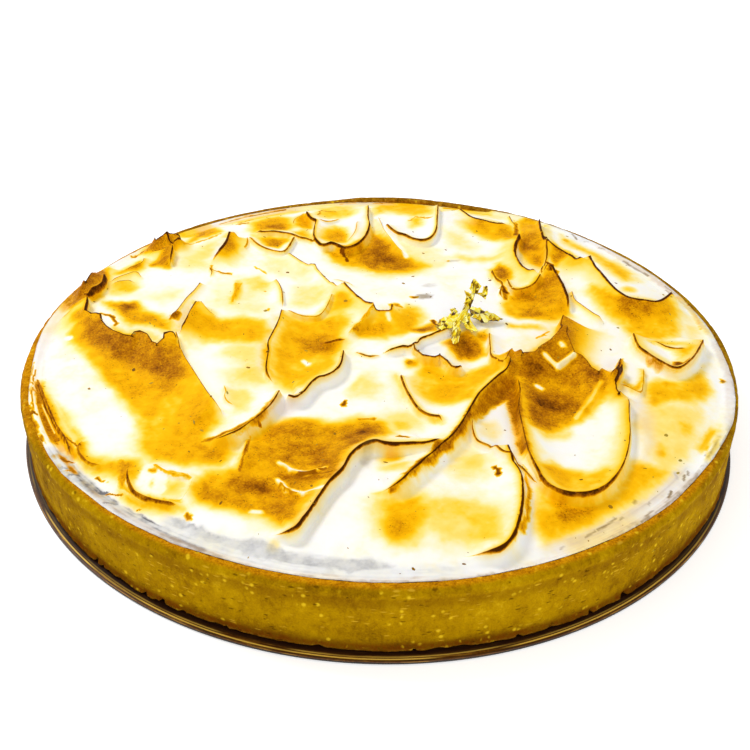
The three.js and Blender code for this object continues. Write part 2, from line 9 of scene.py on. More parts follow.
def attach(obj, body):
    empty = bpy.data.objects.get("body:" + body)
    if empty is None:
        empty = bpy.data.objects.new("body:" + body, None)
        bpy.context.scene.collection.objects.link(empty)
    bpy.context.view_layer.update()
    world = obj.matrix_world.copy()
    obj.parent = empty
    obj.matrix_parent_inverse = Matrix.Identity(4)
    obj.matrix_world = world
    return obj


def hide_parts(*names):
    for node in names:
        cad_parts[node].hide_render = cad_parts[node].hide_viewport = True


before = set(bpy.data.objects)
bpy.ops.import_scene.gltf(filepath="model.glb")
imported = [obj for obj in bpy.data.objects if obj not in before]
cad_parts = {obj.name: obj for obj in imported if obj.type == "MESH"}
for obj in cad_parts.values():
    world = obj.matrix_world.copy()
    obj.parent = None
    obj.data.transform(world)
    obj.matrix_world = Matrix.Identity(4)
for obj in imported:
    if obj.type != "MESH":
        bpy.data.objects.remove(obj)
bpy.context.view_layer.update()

MM = 0.001

# ------------------------------------------------------------------ camera
# elevation, roll, offset of the object's origin in the camera's frame (mm), focal length in pixels of a 750 px frame
CAM_EL, CAM_ROLL, CAM_T, CAM_F = 0.58440, 0.023168, (1.4533, 8.3807, 376.9205), 1158.821


def make_camera():
    fwd = np.array([0, math.cos(CAM_EL), -math.sin(CAM_EL)])
    right = np.array([1.0, 0, 0])
    down = np.cross(fwd, right)
    cr, sr = math.cos(CAM_ROLL), math.sin(CAM_ROLL)
    R = np.array([[cr, -sr, 0], [sr, cr, 0], [0, 0, 1]]) @ np.stack([right, down, fwd])
    loc = -R.T @ np.array(CAM_T) * MM
    m = Matrix.Identity(4)
    for i in range(3):
        m[i][0], m[i][1], m[i][2], m[i][3] = R[0][i], -R[1][i], -R[2][i], loc[i]
    cam = bpy.data.objects.new("camera", bpy.data.cameras.new("camera"))
    cam.data.sensor_width = 36.0
    cam.data.lens = 36.0 * CAM_F / 750.0
    cam.data.clip_start, cam.data.clip_end = 0.01, 50.0
    cam.matrix_world = m
    bpy.context.scene.collection.objects.link(cam)
    bpy.context.scene.camera = cam


make_camera()

# ------------------------------------------------------------------ stroke table
# name, side of the fall (1 left of travel), crest height, facet length, fall width, run-in, run-out, torn,
# burnt line strength, line width, glow at the crest, glow width, brown on the fall, turning points (mm)
STROKES = [
    ("front_lip", 1, 4.6, 13, 2, 6, 7, 0, 1, 0.7, 0.3, 5, 0.1, [(17.4, -54.9), (12.5, -58.9), (7.9, -58.3), (2, -57.6), (-1.6, -56.7), (-5.6, -59.2), (-8.7, -64.2), (-10.4, -69.5), (-13.6, -74.7), (-15.9, -80.2), (-19, -88.6), (-21.6, -93), (-27.1, -92.3)]),
    ("long_ridge", 1, 4.6, 12, 4, 5, 6, 0, 0.9, 0.6, 0.1, 4, 0.85, [(38.8, -12.9), (37, -20), (34, -23.7), (30, -29.6), (27.5, -33.8), (24.9, -40.3), (22.3, -47.1), (19.2, -53.6), (13.4, -61.7), (8, -69.8), (3.9, -75.6), (-0.5, -75.8)]),
    ("petal_right", -1, 3.6, 10, 2, 9, 5, 0, 0.9, 1.3, 0.45, 3, 0.5, [(40.8, -18.7), (41.6, -28.7), (40.4, -38.6), (40.6, -48.4), (41.1, -58.2), (42.6, -66.8), (44.9, -73.3), (49.3, -76), (54.3, -75.6), (58.9, -72.4), (63, -66.6), (66.1, -59.3), (68.6, -50), (70, -40.2), (71.5, -30.9)]),
    ("crest_right", 1, 6, 14, 3, 6, 3, 1, 0.8, 0.8, 0.75, 10, 0, [(40.5, -6.1), (42.3, -14), (47.2, -13), (49.5, -9.4), (52.5, -6.9), (54.6, -3.6), (56.4, 0.4), (59.5, 12.8)]),
    ("crest_right_b", 1, 3.6, 12, 2.5, 4, 4, 1, 0.8, 0.7, 0.6, 8, 0, [(58.8, 4.4), (57.2, -2.4), (57.4, -6.9), (58.2, -11.3), (60.4, -12), (61.7, -14.2), (62.7, -17.7), (65.3, -20.8), (68.9, -15.9)]),
    ("spike", 1, 3, 2.2, 1.8, 2, 2, 1, 0.75, 0.9, 0.6, 2, 0.7, [(67.8, -23.5), (70, -21.1), (74.2, -10.2)]),
    ("spike_foot", 1, 3, 8, 1.5, 3, 3, 1, 1, 1, 0.5, 4, 0.2, [(73.7, -14), (70.2, -22.7), (68.8, -24.7), (68.6, -28.3), (69.4, -31.2), (72, -27.4)]),
    ("v_petal", -1, 1.5, 4, 1.2, 3, 3, 1, 0.5, 0.55, 0.2, 2, 0, [(70.7, -22.2), (73.5, -24.7), (76.6, -27.4), (77.8, -22.7), (79.9, -12.7)]),
    ("lip_top_right", 1, 3, 9, 1.5, 5, 3, 0, 0.9, 0.65, 0.4, 7, 0, [(58.6, 87.8), (57.6, 71.8), (58.9, 64.4), (61.5, 60.7), (64.9, 56.7), (67.3, 49.8), (70.9, 52)]),
    ("lip_far_right", 1, 4.5, 14, 1.6, 2, 3, 0, 1, 0.75, 0.35, 5, 0, [(72, 55.2), (72.6, 46.2), (74.4, 40.5), (76, 34.3), (78.1, 29), (81.5, 25), (86.2, 23.6), (91.9, 23.5), (99.9, 34.1)]),
    ("lip_right", -1, 4, 12, 2.6, 5, 5, 0, 0.8, 1, 0.35, 4, 0.9, [(80.3, 6.9), (80.3, -4), (82.1, -8.1), (85, -12.4), (88, -15.6), (90.1, -15.5), (93, -12.2), (96, -7.5), (102.5, 6.1)]),
    ("crease_right", -1, 1.2, 5, 1, 3, 3, 0, 0.45, 0.6, 0.25, 2, 0, [(84.4, 1.4), (88.4, -0.8), (91.8, -3.9), (95.7, -4)]),
    ("petal_front", 1, 4.2, 13, 3, 3, 8, 0, 1, 1.1, 0.1, 4, 0.4, [(34, -56.2), (34.7, -64.2), (36.3, -69.8), (36.3, -75.5), (35.6, -81.9), (34.2, -88.4), (32.5, -93.1), (30, -96.4), (26.7, -97.9), (21.1, -97.7)]),
    ("petal_small", -1, 2.2, 7, 1.6, 5, 4, 0, 0.62, 0.5, 0, 2, 0.15, [(26.1, -41.2), (26.4, -47.5), (27.4, -53.2), (30.5, -56.3), (33.2, -62.1), (38, -63.7), (40.6, -68.2), (42.7, -70.7)]),
    ("crest_mid", -1, 2.5, 8, 2, 4, 3, 0, 0.72, 0.6, 0.15, 4, 0, [(-0.5, -8.7), (2.7, -7.9), (6.8, -5.6), (9.9, -6.1), (11.9, -1.4), (15.4, 1), (17.7, 2.8), (22.4, 5.5)]),
    ("crest_mid_b", -1, 1, 4, 1.2, 2, 2, 0, 0.4, 0.5, 0.1, 2, 0, [(-7.4, -8), (-3.9, -10.2), (-0.8, -9.6)]),
    ("cup_left", -1, 3, 4.5, 2, 2, 3, 1, 0.9, 0.8, 0, 2, 0.6, [(10, -5.8), (11.2, -8), (13, -11.3), (16.2, -12.4), (18, -10.7), (20.7, -14.3), (22.2, -18), (25.5, -15)]),
    ("cup_right", -1, 2.6, 5, 1.5, 4, 3, 0, 0.7, 0.6, 0, 2, 0.2, [(34.6, 5.5), (34.4, -4.8), (34.2, -10.8), (35, -16.9), (36.1, -17.5), (40.3, -6.5)]),
    ("trough_edge", 1, 4, 16, 2, 3, 8, 0, 0.55, 0.6, 0.35, 9, 0, [(-65.4, 0), (-61.4, -13.2), (-57.5, -21.3), (-52.9, -31), (-48.8, -38.8), (-45.7, -41.8), (-43.7, -45)]),
    ("torn_lip", 1, 4.6, 13, 1.5, 5, 2, 1, 1, 0.8, 0.4, 9, 0, [(-97.2, 21.7), (-96.1, 13.7), (-95.4, 8.2), (-92.1, 4.9), (-89.6, 5.4), (-88.9, 2.1), (-86.3, -1.8), (-83.6, -4.4), (-79.8, -6.5), (-76.4, -7.3), (-75.6, -3.8), (-72.8, -6.1), (-70.6, -10.2), (-67.7, -12.4), (-66, -8.9), (-66.5, -5.9), (-64.9, -6.7), (-64.2, -7.9)]),
    ("knob_left", 1, 4.4, 7, 1.5, 6, 4, 0, 0.9, 0.9, 0.6, 4, 0, [(-103.1, 22.9), (-101.8, 28), (-97.4, 24.9), (-97.2, 41.2), (-95.7, 44.6), (-94.2, 47.8)]),
    ("knob_left_b", 1, 2.5, 4, 1.5, 2, 2, 0, 0.9, 1.5, 0.4, 3, 0, [(-94.2, 36), (-93.5, 30.3), (-94, 25.8), (-96.6, 21), (-97.4, 21)]),
    ("rim_left", -1, 1.2, 4, 1.2, 2, 2, 0, 0.6, 0.6, 0.2, 2, 0, [(-99.5, 12.8), (-100.7, 10.1), (-103.1, 9)]),
    ("knob_top", 1, 4, 6, 1.5, 3, 3, 0, 0.8, 0.8, 0.6, 4, 0, [(-83, 65.3), (-81.2, 58.3), (-77.9, 59.1), (-75.4, 61.7), (-73.8, 62.4), (-72.3, 58.9), (-72, 63.6)]),
    ("knob_top_b", 1, 1.6, 4, 1.4, 3, 3, 0, 1, 1.3, 0.3, 3, 0, [(-80.5, 68.4), (-78.7, 70.4), (-75.7, 58.3), (-72.6, 58), (-70, 58.8)]),
    ("flap_left", 1, 3.5, 6, 1.5, 2, 3, 0, 1, 0.8, 0.65, 5, 0, [(-74.5, 55.4), (-74.4, 51.2), (-74.2, 47.2), (-73.4, 43.8)]),
    ("flap_left_b", -1, 2, 4, 1.2, 2, 3, 0, 0.7, 0.6, 0.2, 3, 0, [(-75, 53.9), (-78.2, 53), (-82.8, 54.5)]),
    ("flap_high", -1, 4, 9, 1.5, 2, 9, 0, 0.95, 0.9, 0.55, 6, 0, [(-54.7, 67.4), (-55, 59), (-56.6, 52.2), (-58.6, 49.1), (-59.8, 45.2)]),
    ("flap_high_b", 1, 1.2, 4, 1.2, 2, 3, 0, 0.6, 0.5, 0.1, 3, 0, [(-55.7, 71.9), (-52.3, 64.7), (-50.2, 65.6)]),
    ("flap_high_c", -1, 1.2, 4, 1.2, 2, 3, 0, 0.7, 0.6, 0.1, 2, 0, [(-59.6, 44.4), (-58.1, 40.5), (-58.7, 37.1)]),
    ("channel_edge", -1, 2, 5, 1.2, 3, 3, 0, 0.6, 0.5, 0.2, 3, 0, [(-60.2, 33.3), (-61.6, 26.3), (-63.8, 20), (-65.9, 12), (-68.8, 8.7)]),
    ("hair_a", 1, 0.6, 3, 1, 2, 2, 0, 0.3, 0.5, 0, 2, 0, [(-57, 40.4), (-54.3, 39.7), (-51.4, 39.2)]),
    ("flap_low", -1, 3.6, 9, 1.3, 2, 4, 0, 0.9, 0.8, 0.45, 7, 0, [(-59.3, 16.7), (-60.5, 11.1), (-61.3, 5.4), (-62.4, 0.9), (-65, 0.8)]),
    ("flap_low_b", 1, 1.2, 5, 1.2, 2, 3, 0, 0.5, 0.5, 0.1, 3, 0, [(-60.1, 20), (-57, 13.9), (-54.9, 11.6), (-51.9, 11.4)]),
    ("petal_mid", -1, 3, 8, 1.4, 2, 6, 0, 0.92, 0.8, 0, 3, 0, [(-31.6, 14.8), (-32.1, 7.2), (-33.1, 0.9), (-34.3, -6), (-33.8, -10.3), (-33.7, -18.3), (-33, -23.2), (-31, -26.4)]),
    ("petal_mid_b", 1, 1.8, 5, 1.2, 3, 3, 0, 0.72, 0.6, 0.25, 2, 0, [(-37.3, 37.1), (-35, 32.2), (-33.8, 27.9), (-33.1, 22.5), (-32.5, 18.6)]),
    ("petal_mid_c", -1, 1.5, 6, 1.2, 3, 3, 0, 0.5, 0.5, 0, 2, 0.25, [(-31.4, 14.9), (-27.6, 12.8), (-23.6, 12.5), (-20.7, 12.9), (-18.9, 16.3), (-17.7, 21.5), (-16.5, 28.4)]),
    ("mid_lip", 1, 4, 10, 3, 4, 4, 0, 0.95, 0.55, 0, 3, 0.22, [(-12.1, -7.8), (-12.7, -17.9), (-14.3, -22.1), (-16.6, -24.6), (-18.9, -25.7), (-21, -29.1), (-22.9, -33.9), (-24.9, -35.7), (-27.3, -32.3)]),
    ("mid_lip_b", 1, 4, 11, 3.4, 3, 8, 0, 0.8, 0.6, 0, 3, 0.8, [(-29.3, -31.4), (-31.6, -40.1), (-33.8, -44.9), (-36.5, -49.2), (-39.8, -53.6), (-43.5, -55.6), (-48.5, -54.9)]),
    ("crease_front", -1, 1.8, 6, 2.6, 4, 4, 0, 0.35, 0.8, 0, 2, 0.7, [(-36.3, -52.4), (-35.6, -59.3), (-36.1, -64.8), (-37.2, -68)]),
    ("box_top", -1, 1.5, 5, 1.5, 3, 3, 0, 0.4, 1, 0.2, 2, 0, [(-61, -65.1), (-56.8, -68.9), (-53, -70.9), (-49, -70.7)]),
    ("box_foot", -1, 1.6, 5, 1.5, 3, 3, 0, 0.7, 1.2, 0.2, 3, 0.1, [(-66.6, -66.7), (-65.3, -72.6), (-62.7, -76.8), (-58.3, -79.4), (-53.7, -81), (-50.6, -81.8)]),
    ("scoop_left", -1, 1.6, 5, 1.4, 2, 3, 0, 0.6, 1.1, 0.35, 3, 0, [(-81.7, -54.8), (-81.6, -58.5), (-79.9, -61.7), (-76.9, -64.8), (-73.4, -65.2)]),
    ("box_side", -1, 1, 4, 1.2, 2, 2, 0, 0.25, 0.6, 0, 2, 0, [(-48.7, -71.7), (-48.8, -76.3), (-50.3, -79.5)]),
    ("crescent_a", -1, 1.3, 3, 1.1, 3, 3, 0, 0, 0.6, 0, 2, 0.5, [(-27, -63.4), (-23.2, -67.4), (-18.8, -69), (-14.3, -67.5)]),
    ("crescent_b", -1, 1.6, 4, 1.1, 3, 3, 0, 0, 0.6, 0, 2, 0.5, [(-26.7, -70.5), (-23.6, -75.6), (-19.3, -78.8), (-15.4, -77.5)]),
    ("left_bank", -1, 1.7, 5, 1.5, 5, 4, 0, 0.7, 0.8, 0.25, 3, 0.1, [(-102.3, -22.8), (-98, -31.9), (-94.9, -38.2), (-90.7, -46.3), (-86.4, -53.3), (-83.6, -59.6), (-83.1, -61.6)]),
    ("arc_a", 1, 1.6, 4, 1.1, 2, 2, 0, 0.75, 0.6, 0.3, 3, 0, [(-91.7, 33.4), (-89.3, 35.1), (-86.1, 37.2), (-84.3, 38.3), (-82.8, 37), (-82.1, 36.1)]),
    ("arc_b", 1, 1.1, 3, 1, 2, 2, 0, 0.7, 0.6, 0.2, 2, 0, [(-90.2, 32.1), (-87.9, 32.4), (-85.5, 32.9), (-83.6, 32.4)]),
    ("arc_c", -1, 1.6, 4, 1.1, 2, 2, 0, 0.75, 0.6, 0.35, 3, 0, [(-83.2, 51.2), (-83.1, 45.6), (-86.2, 42.8), (-88.6, 42.9)]),
    ("band_left", -1, 1.1, 4, 1.5, 3, 3, 0, 0.1, 0.6, 0.6, 2.5, 0, [(-49.7, 35.5), (-48.6, 27.1), (-49.5, 19.9)]),
    ("petal_top_a", -1, 3, 9, 1.8, 3, 5, 0, 0.8, 0.65, 0, 3, 0.1, [(-29, 88.6), (-26.2, 82.2), (-24.3, 80.2), (-24.5, 73.9), (-24, 66.8), (-22.6, 63.2), (-21.1, 61.4), (-18.4, 63.4), (-14.9, 61.2), (-13.1, 60.1), (-9.9, 62.3), (-7.5, 66.6), (-6.1, 71.9), (-5.6, 78), (-6.3, 83.9), (-6.3, 97.6)]),
    ("fold_top_a", -1, 1.1, 4, 1.2, 3, 3, 0, 0.5, 0.6, 0.1, 2, 0, [(-9.5, 82.4), (-9.8, 74.1), (-11.3, 68.6), (-13.1, 65)]),
    ("arc_top_a", -1, 1, 4, 1, 3, 3, 0, 0.5, 0.5, 0, 2, 0, [(-24.4, 82), (-21.6, 80.6), (-18.5, 82.8), (-15.5, 86.2)]),
    ("petal_top_b", -1, 2.8, 9, 1.8, 4, 4, 0, 0.7, 0.55, 0, 3, 0.05, [(0.5, 81.1), (4.9, 72.9), (8.2, 70.7), (11, 67.9), (13.9, 67), (16.3, 68), (18.1, 71.3), (19.2, 76.9), (19.6, 84.3), (20.7, 102.4)]),
    ("stripe_top", 1, 1.6, 3, 1.3, 4, 3, 0, 0.35, 0.5, 0, 2, 0.4, [(-2.5, 88), (-0.3, 77.1), (2.6, 68.6), (5.7, 61.7), (8.6, 58.9)]),
    ("petal_top_c", -1, 2, 7, 1.3, 2, 3, 0, 0.65, 0.55, 0, 2, 0, [(-48.1, 67.1), (-45.2, 62.1), (-42.3, 58.8), (-38.9, 56.6), (-35.3, 56.1), (-33.7, 59.9), (-31.9, 69.8)]),
    ("crest_top_c", -1, 1.8, 6, 1.3, 4, 3, 0, 0.8, 0.7, 0.2, 3, 0, [(-48, 72.3), (-43.6, 71.5), (-39.6, 72), (-36.1, 71.3), (-33, 70.3), (-29.6, 68), (-26.6, 67.2), (-23.7, 64.2)]),
    ("hook_top", 1, 1, 3, 1, 2, 2, 0, 0.5, 0.8, 0.2, 2, 0, [(-49.1, 67.4), (-48.8, 62.1), (-49.3, 58.6), (-48.1, 58.3)]),
    ("facet_top", 1, 1.2, 4, 1, 2, 2, 0, 0.5, 0.7, 0.2, 2, 0, [(-33, 79.6), (-32.8, 82.4), (-31.1, 85.6), (-29, 88.6)]),
    ("long_edge", 1, 1.9, 8, 1.5, 3, 2, 0, 0.65, 0.5, 0, 3, 0, [(-35, 56.4), (-32, 52.9), (-28.6, 48.8), (-25.8, 46.2), (-23.9, 47.3), (-22.9, 43.8), (-20.7, 39.1), (-18.2, 34.4), (-15.8, 30.5)]),
    ("long_edge_b", 1, 3, 9, 1.5, 2, 3, 0, 0.95, 0.8, 0.25, 6, 0, [(-13.9, 33.8), (-11.5, 28.5), (-9, 23.8), (-7.3, 21.4), (-5, 17.3), (-2.6, 14.2), (0.5, 13.9), (3.4, 14.5), (4, 21.1)]),
    ("hair_b", 1, 0.6, 3, 1, 2, 2, 0, 0.45, 0.5, 0, 2, 0, [(-16.5, 39), (-13.5, 37.5), (-11.1, 35.9), (-10, 34.7)]),
    ("fold_mid", 1, 2.5, 5, 3, 3, 3, 0, 0.3, 0.6, 0, 2, 0.75, [(-2.7, 20), (-5.3, 10.4), (-8.4, 6), (-10, 1.8), (-11.5, 0.4)]),
    ("fold_mid_b", -1, 1.5, 5, 1.6, 3, 2, 0, 0.7, 1, 0.1, 2, 0.4, [(-19.5, -2), (-16.9, -2.5), (-14.1, -1.3), (-11.5, -0.4)]),
    ("petal_low", -1, 2.3, 8, 1.8, 4, 3, 0, 0.75, 0.6, 0, 3, 0.4, [(6, -19.2), (7.6, -27.9), (9.3, -33.7), (11.3, -38.8), (13.9, -41.8), (16.8, -43.7), (17.5, -45.3), (18, -46.5)]),
    ("peak_right", 1, 5, 16, 2, 2, 8, 0, 0.8, 0.95, 0.45, 7, 0, [(58.1, 44.5), (58.5, 40.4), (59.7, 34.1), (60.4, 24.9), (61.4, 18.2), (62.5, 17)]),
    ("petal_peak", -1, 2.5, 7, 1.5, 3, 3, 0, 0.72, 0.6, 0, 2, 0.1, [(42.8, 39.5), (44.4, 33.4), (46.9, 33), (49.7, 33.9), (51.9, 35.7), (54.4, 40.2)]),
    ("peak_right_b", 1, 1.6, 5, 1.2, 2, 2, 0, 0.6, 0.5, 0.2, 3, 0, [(54.4, 40.2), (55.9, 41), (59.2, 48.9)]),
    ("peak_left", -1, 2, 6, 1.4, 3, 3, 0, 0.5, 0.6, 0.3, 3, 0, [(38, 47.6), (39.3, 40.2), (41.3, 36.7), (40.1, 30.5), (41, 28)]),
    ("hollow_left", 1, 4, 10, 2.5, 4, 3, 0, 0.9, 1.5, 0.3, 6, 0.3, [(49.9, 73.1), (46.8, 62.8), (46, 56.8), (46.4, 50.9), (47.7, 45.5), (50.1, 40.8), (54.4, 41.2)]),
    ("hollow_right", -1, 3, 6, 2, 5, 2, 0, 0.85, 0.85, 0.25, 3, 0.3, [(58.6, 87.8), (58.8, 71.7), (58.8, 61.6), (58.8, 56.2), (57.5, 49.9), (54.6, 40.8)]),
    ("tick_top", 1, 1.5, 4, 1.2, 3, 2, 0, 0.8, 0.7, 0.2, 3, 0, [(47.5, 94.3), (48.5, 84.9), (50, 82.1)]),
    ("edge_top", 1, 1.8, 8, 1.5, 5, 4, 0, 0.45, 0.5, 0.2, 4, 0, [(28.3, 101.6), (32.4, 88.3), (37.4, 84.7), (42.6, 82), (47.6, 84.3)]),
    ("edge_right", 1, 2, 6, 1.5, 3, 3, 0, 0.7, 0.6, 0.25, 2, 0, [(63.6, 34.3), (63.8, 26.6), (66, 21.8), (69, 17), (71.1, 15), (72.7, 14)]),
    ("pale_fold", 1, 1.3, 3, 2, 4, 4, 0, 0, 0.6, 0, 2, 0, [(65.2, -24.1), (62.7, -29.3), (59.7, -34), (56.4, -37.8)]),
    ("pale_y", 1, 1.2, 2.5, 1.5, 2, 2, 0, 0, 0.6, 0, 2, 0, [(58.6, -12.2), (55.8, -13.9), (53.7, -15.5), (53.2, -17.2)]),
    ("hook_left", -1, 1.1, 4, 1.2, 2, 3, 0, 0.4, 0.6, 0.1, 2, 0, [(-45.8, -27.8), (-44.8, -31), (-44.8, -33.6), (-43.6, -36.4), (-41, -38.2)]),
]
SWELLS = [(-75, -30, 16, 42, -30, -1.6), (56, -42, 12, 22, 0, -1.6), (3, 52, 24, 12, 0, -1.6), (85, 18, 14, 12, 0, -1.0),
          (50, 28, 9, 14, 0, -1.0), (14, -84, 18, 12, 0, 1.0), (-26, -80, 14, 9, 0, -1.0), (-22, -3, 9, 18, 0, -0.8),
          (-99, 27, 4, 9, -10, 2.6), (-79, 62, 5, 5, 0, 2.6), (28, -8, 4.5, 6, 0, -2.6), (24, 8, 8, 6, 0, 1.2),
          (-50, 20, 16, 14, 0, 0.8), (-62, -80, 10, 6, -30, -0.6), (60, 75, 12, 8, 0, 0.6), (-20, 74, 9, 9, 0, -0.5)]
# torched patches: x, y, radius, strength
TORCH = [
    (-96.6, 7.3, 4, 0.62), (-45, -61.7, 5, 0.62), (-57.1, -72.8, 2.5, 0.55), (-67.1, -66.5, 3, 0.6), (-25.2, -96, 2, 0.3),
    (5, -89.7, 5, 0.62), (25.9, -61.5, 4, 0.35), (3, -61, 3, 0.5), (76.6, -54.7, 2, 0.5), (84, 37, 3, 0.42),
    (67.4, 74, 2, 0.6), (9, -13, 1.6, 0.85), (12, 86, 3, 0.45), (32, 3, 2.5, 0.6), (-76.4, 49, 2, 0.8),
    (-82.3, 57.9, 2.5, 0.62),
]
# left bare: x0, y0, x1, y1, half width, strength
PALE = [
    (-2.5, 88, 8.6, 58.9, 1.1, 0.95), (-27, -63.3, -23.4, -67.1, 0.4, 0.9), (-23.4, -67.1, -18.8, -69.1, 0.5, 0.9),
    (-18.8, -69.1, -14.2, -67.6, 0.35, 0.8), (-26.8, -70.3, -23.9, -75.4, 0.4, 0.9), (-23.9, -75.4, -19.3, -78.8, 0.5, 0.9),
    (-19.3, -78.8, -14.6, -77.2, 0.35, 0.8), (65.2, -23.8, 56.5, -37.5, 0.7, 0.5), (49.8, -12.2, 53.4, -16.4, 0.8, 0.8),
    (58.7, -11.7, 53.4, -16.4, 0.85, 0.8), (55.5, -8.2, 55.5, -7.6, 1.2, 0.85), (46.3, -24.4, 47.8, -25, 0.9, 0.9),
    (-32.1, -83.1, -30.1, -83.1, 0.9, 0.9), (-98.3, -2, -97.2, -2.4, 1, 0.9), (-23.6, -12.1, -22.1, -14.1, 0.8, 0.9),
    (-61.8, -66, -62.6, -73.5, 0.7, 0.8), (-88.5, 9.5, -86.6, 6.8, 1.9, 0.95), (-57.4, -69.5, -57.1, -75.5, 2.6, 0.8),
    (23.8, -17, 26.1, -15.4, 0.8, 0.6), (2, 13.3, 2.5, 11, 0.5, 0.7),
]
# scorched marks: x0, y0, x1, y1, half width, strength
DARK = [
    (-26.4, -68, -20.8, -69.8, 0.34, 0.85), (-20.8, -69.8, -14.3, -67.9, 0.34, 0.85), (-26.1, -73.8, -21.3, -78.3, 0.28, 0.7),
    (-14, 59.4, -12.1, 53.9, 0.7, 1), (-10.5, -34, -10.5, -36, 0.8, 1), (30.9, -65.6, 31.4, -68.8, 0.55, 1),
    (5, -52.1, 8.1, -52.8, 0.7, 0.9), (-40, 28.6, -39.8, 28.6, 0.5, 0.9), (10.1, 27.8, 11.4, 28.1, 0.45, 0.95),
    (-33.4, -48.3, -33, -48.3, 0.7, 0.9), (-48.2, -84.8, -47.8, -86.1, 0.7, 0.8), (-91, 12, -86.5, 10.5, 0.35, 0.9),
    (-86.5, 10.5, -84.6, 7.5, 0.35, 0.9), (-84.6, 7.5, -85.3, 5, 0.35, 0.9), (22.6, 55.5, 23.3, 55.6, 0.35, 0.6),
    (57.6, 49.9, 59.5, 50.4, 0.8, 1.05), (16.5, 12.7, 17.9, 8.8, 0.7, 1), (50.8, 71.4, 53.7, 69.5, 0.5, 0.8),
    (-6, -43, -1, -42.5, 0.6, 0.7), (-9.9, -60.7, -8.9, -60.2, 0.7, 0.8), (103.7, -14.7, 104, -16.2, 0.5, 0.8),
    (-36.5, 17.7, -36.8, 16.7, 0.4, 0.5), (-25, -68.3, -18.9, -69.5, 0.65, 0.85), (-18.9, -69.5, -12.8, -70.3, 0.65, 0.85),
    (38.4, -23.7, 36.5, -29.1, 0.3, 0.6), (36.5, -29.1, 33.1, -34.4, 0.3, 0.6), (38.4, -31.1, 38.3, -39.2, 0.3, 0.7),
    (38.3, -39.2, 39, -46.7, 0.3, 0.7), (-3, 14.2, -5.5, 9.9, 0.5, 0.6), (-5.5, 9.9, -8.1, 6, 0.5, 0.6),
    (-8.1, 6, -9.4, 2.4, 0.5, 0.6), (48.6, 3, 51.1, 5.9, 0.3, 0.6), (51.1, 5.9, 54.2, 9.3, 0.3, 0.6),
    (51.4, 69.2, 53.8, 64.8, 0.5, 0.75), (53.8, 64.8, 56.4, 66, 0.5, 0.75), (-24.5, 87.3, -23.7, 94.5, 0.34, 0.8),
    (-23.7, 94.5, -18, 92.2, 0.34, 0.8), (10, 86, 12, 89, 0.3, 0.65), (12, 89, 14.9, 87.4, 0.3, 0.65),
    (14.9, 87.4, 18.8, 85.4, 0.3, 0.65), (-89.6, 56.8, -87.7, 55.8, 0.34, 0.8), (-87.7, 55.8, -86.8, 60.2, 0.34, 0.8),
    (-86.8, 60.2, -83.7, 59.2, 0.34, 0.8), (-83.7, 59.2, -80.5, 58, 0.34, 0.8), (-71.7, 58.6, -70.3, 59.9, 0.3, 0.6),
    (-70.3, 59.9, -67, 64.6, 0.3, 0.6), (-67, 64.6, -63, 68, 0.3, 0.6), (-63, 68, -60, 71, 0.3, 0.6),
    (-54.2, 81.2, -49.7, 81.8, 0.45, 0.8), (-60.2, 46, -58.7, 42.2, 0.3, 0.8), (-58.7, 42.2, -55.9, 42.2, 0.3, 0.8),
    (-55.9, 42.2, -52, 41, 0.3, 0.8), (-44.6, 46.2, -40, 41.8, 0.3, 0.5), (-47.9, 34.3, -48.3, 25.5, 0.3, 0.6),
    (-48.3, 25.5, -48.7, 21, 0.3, 0.6),
]
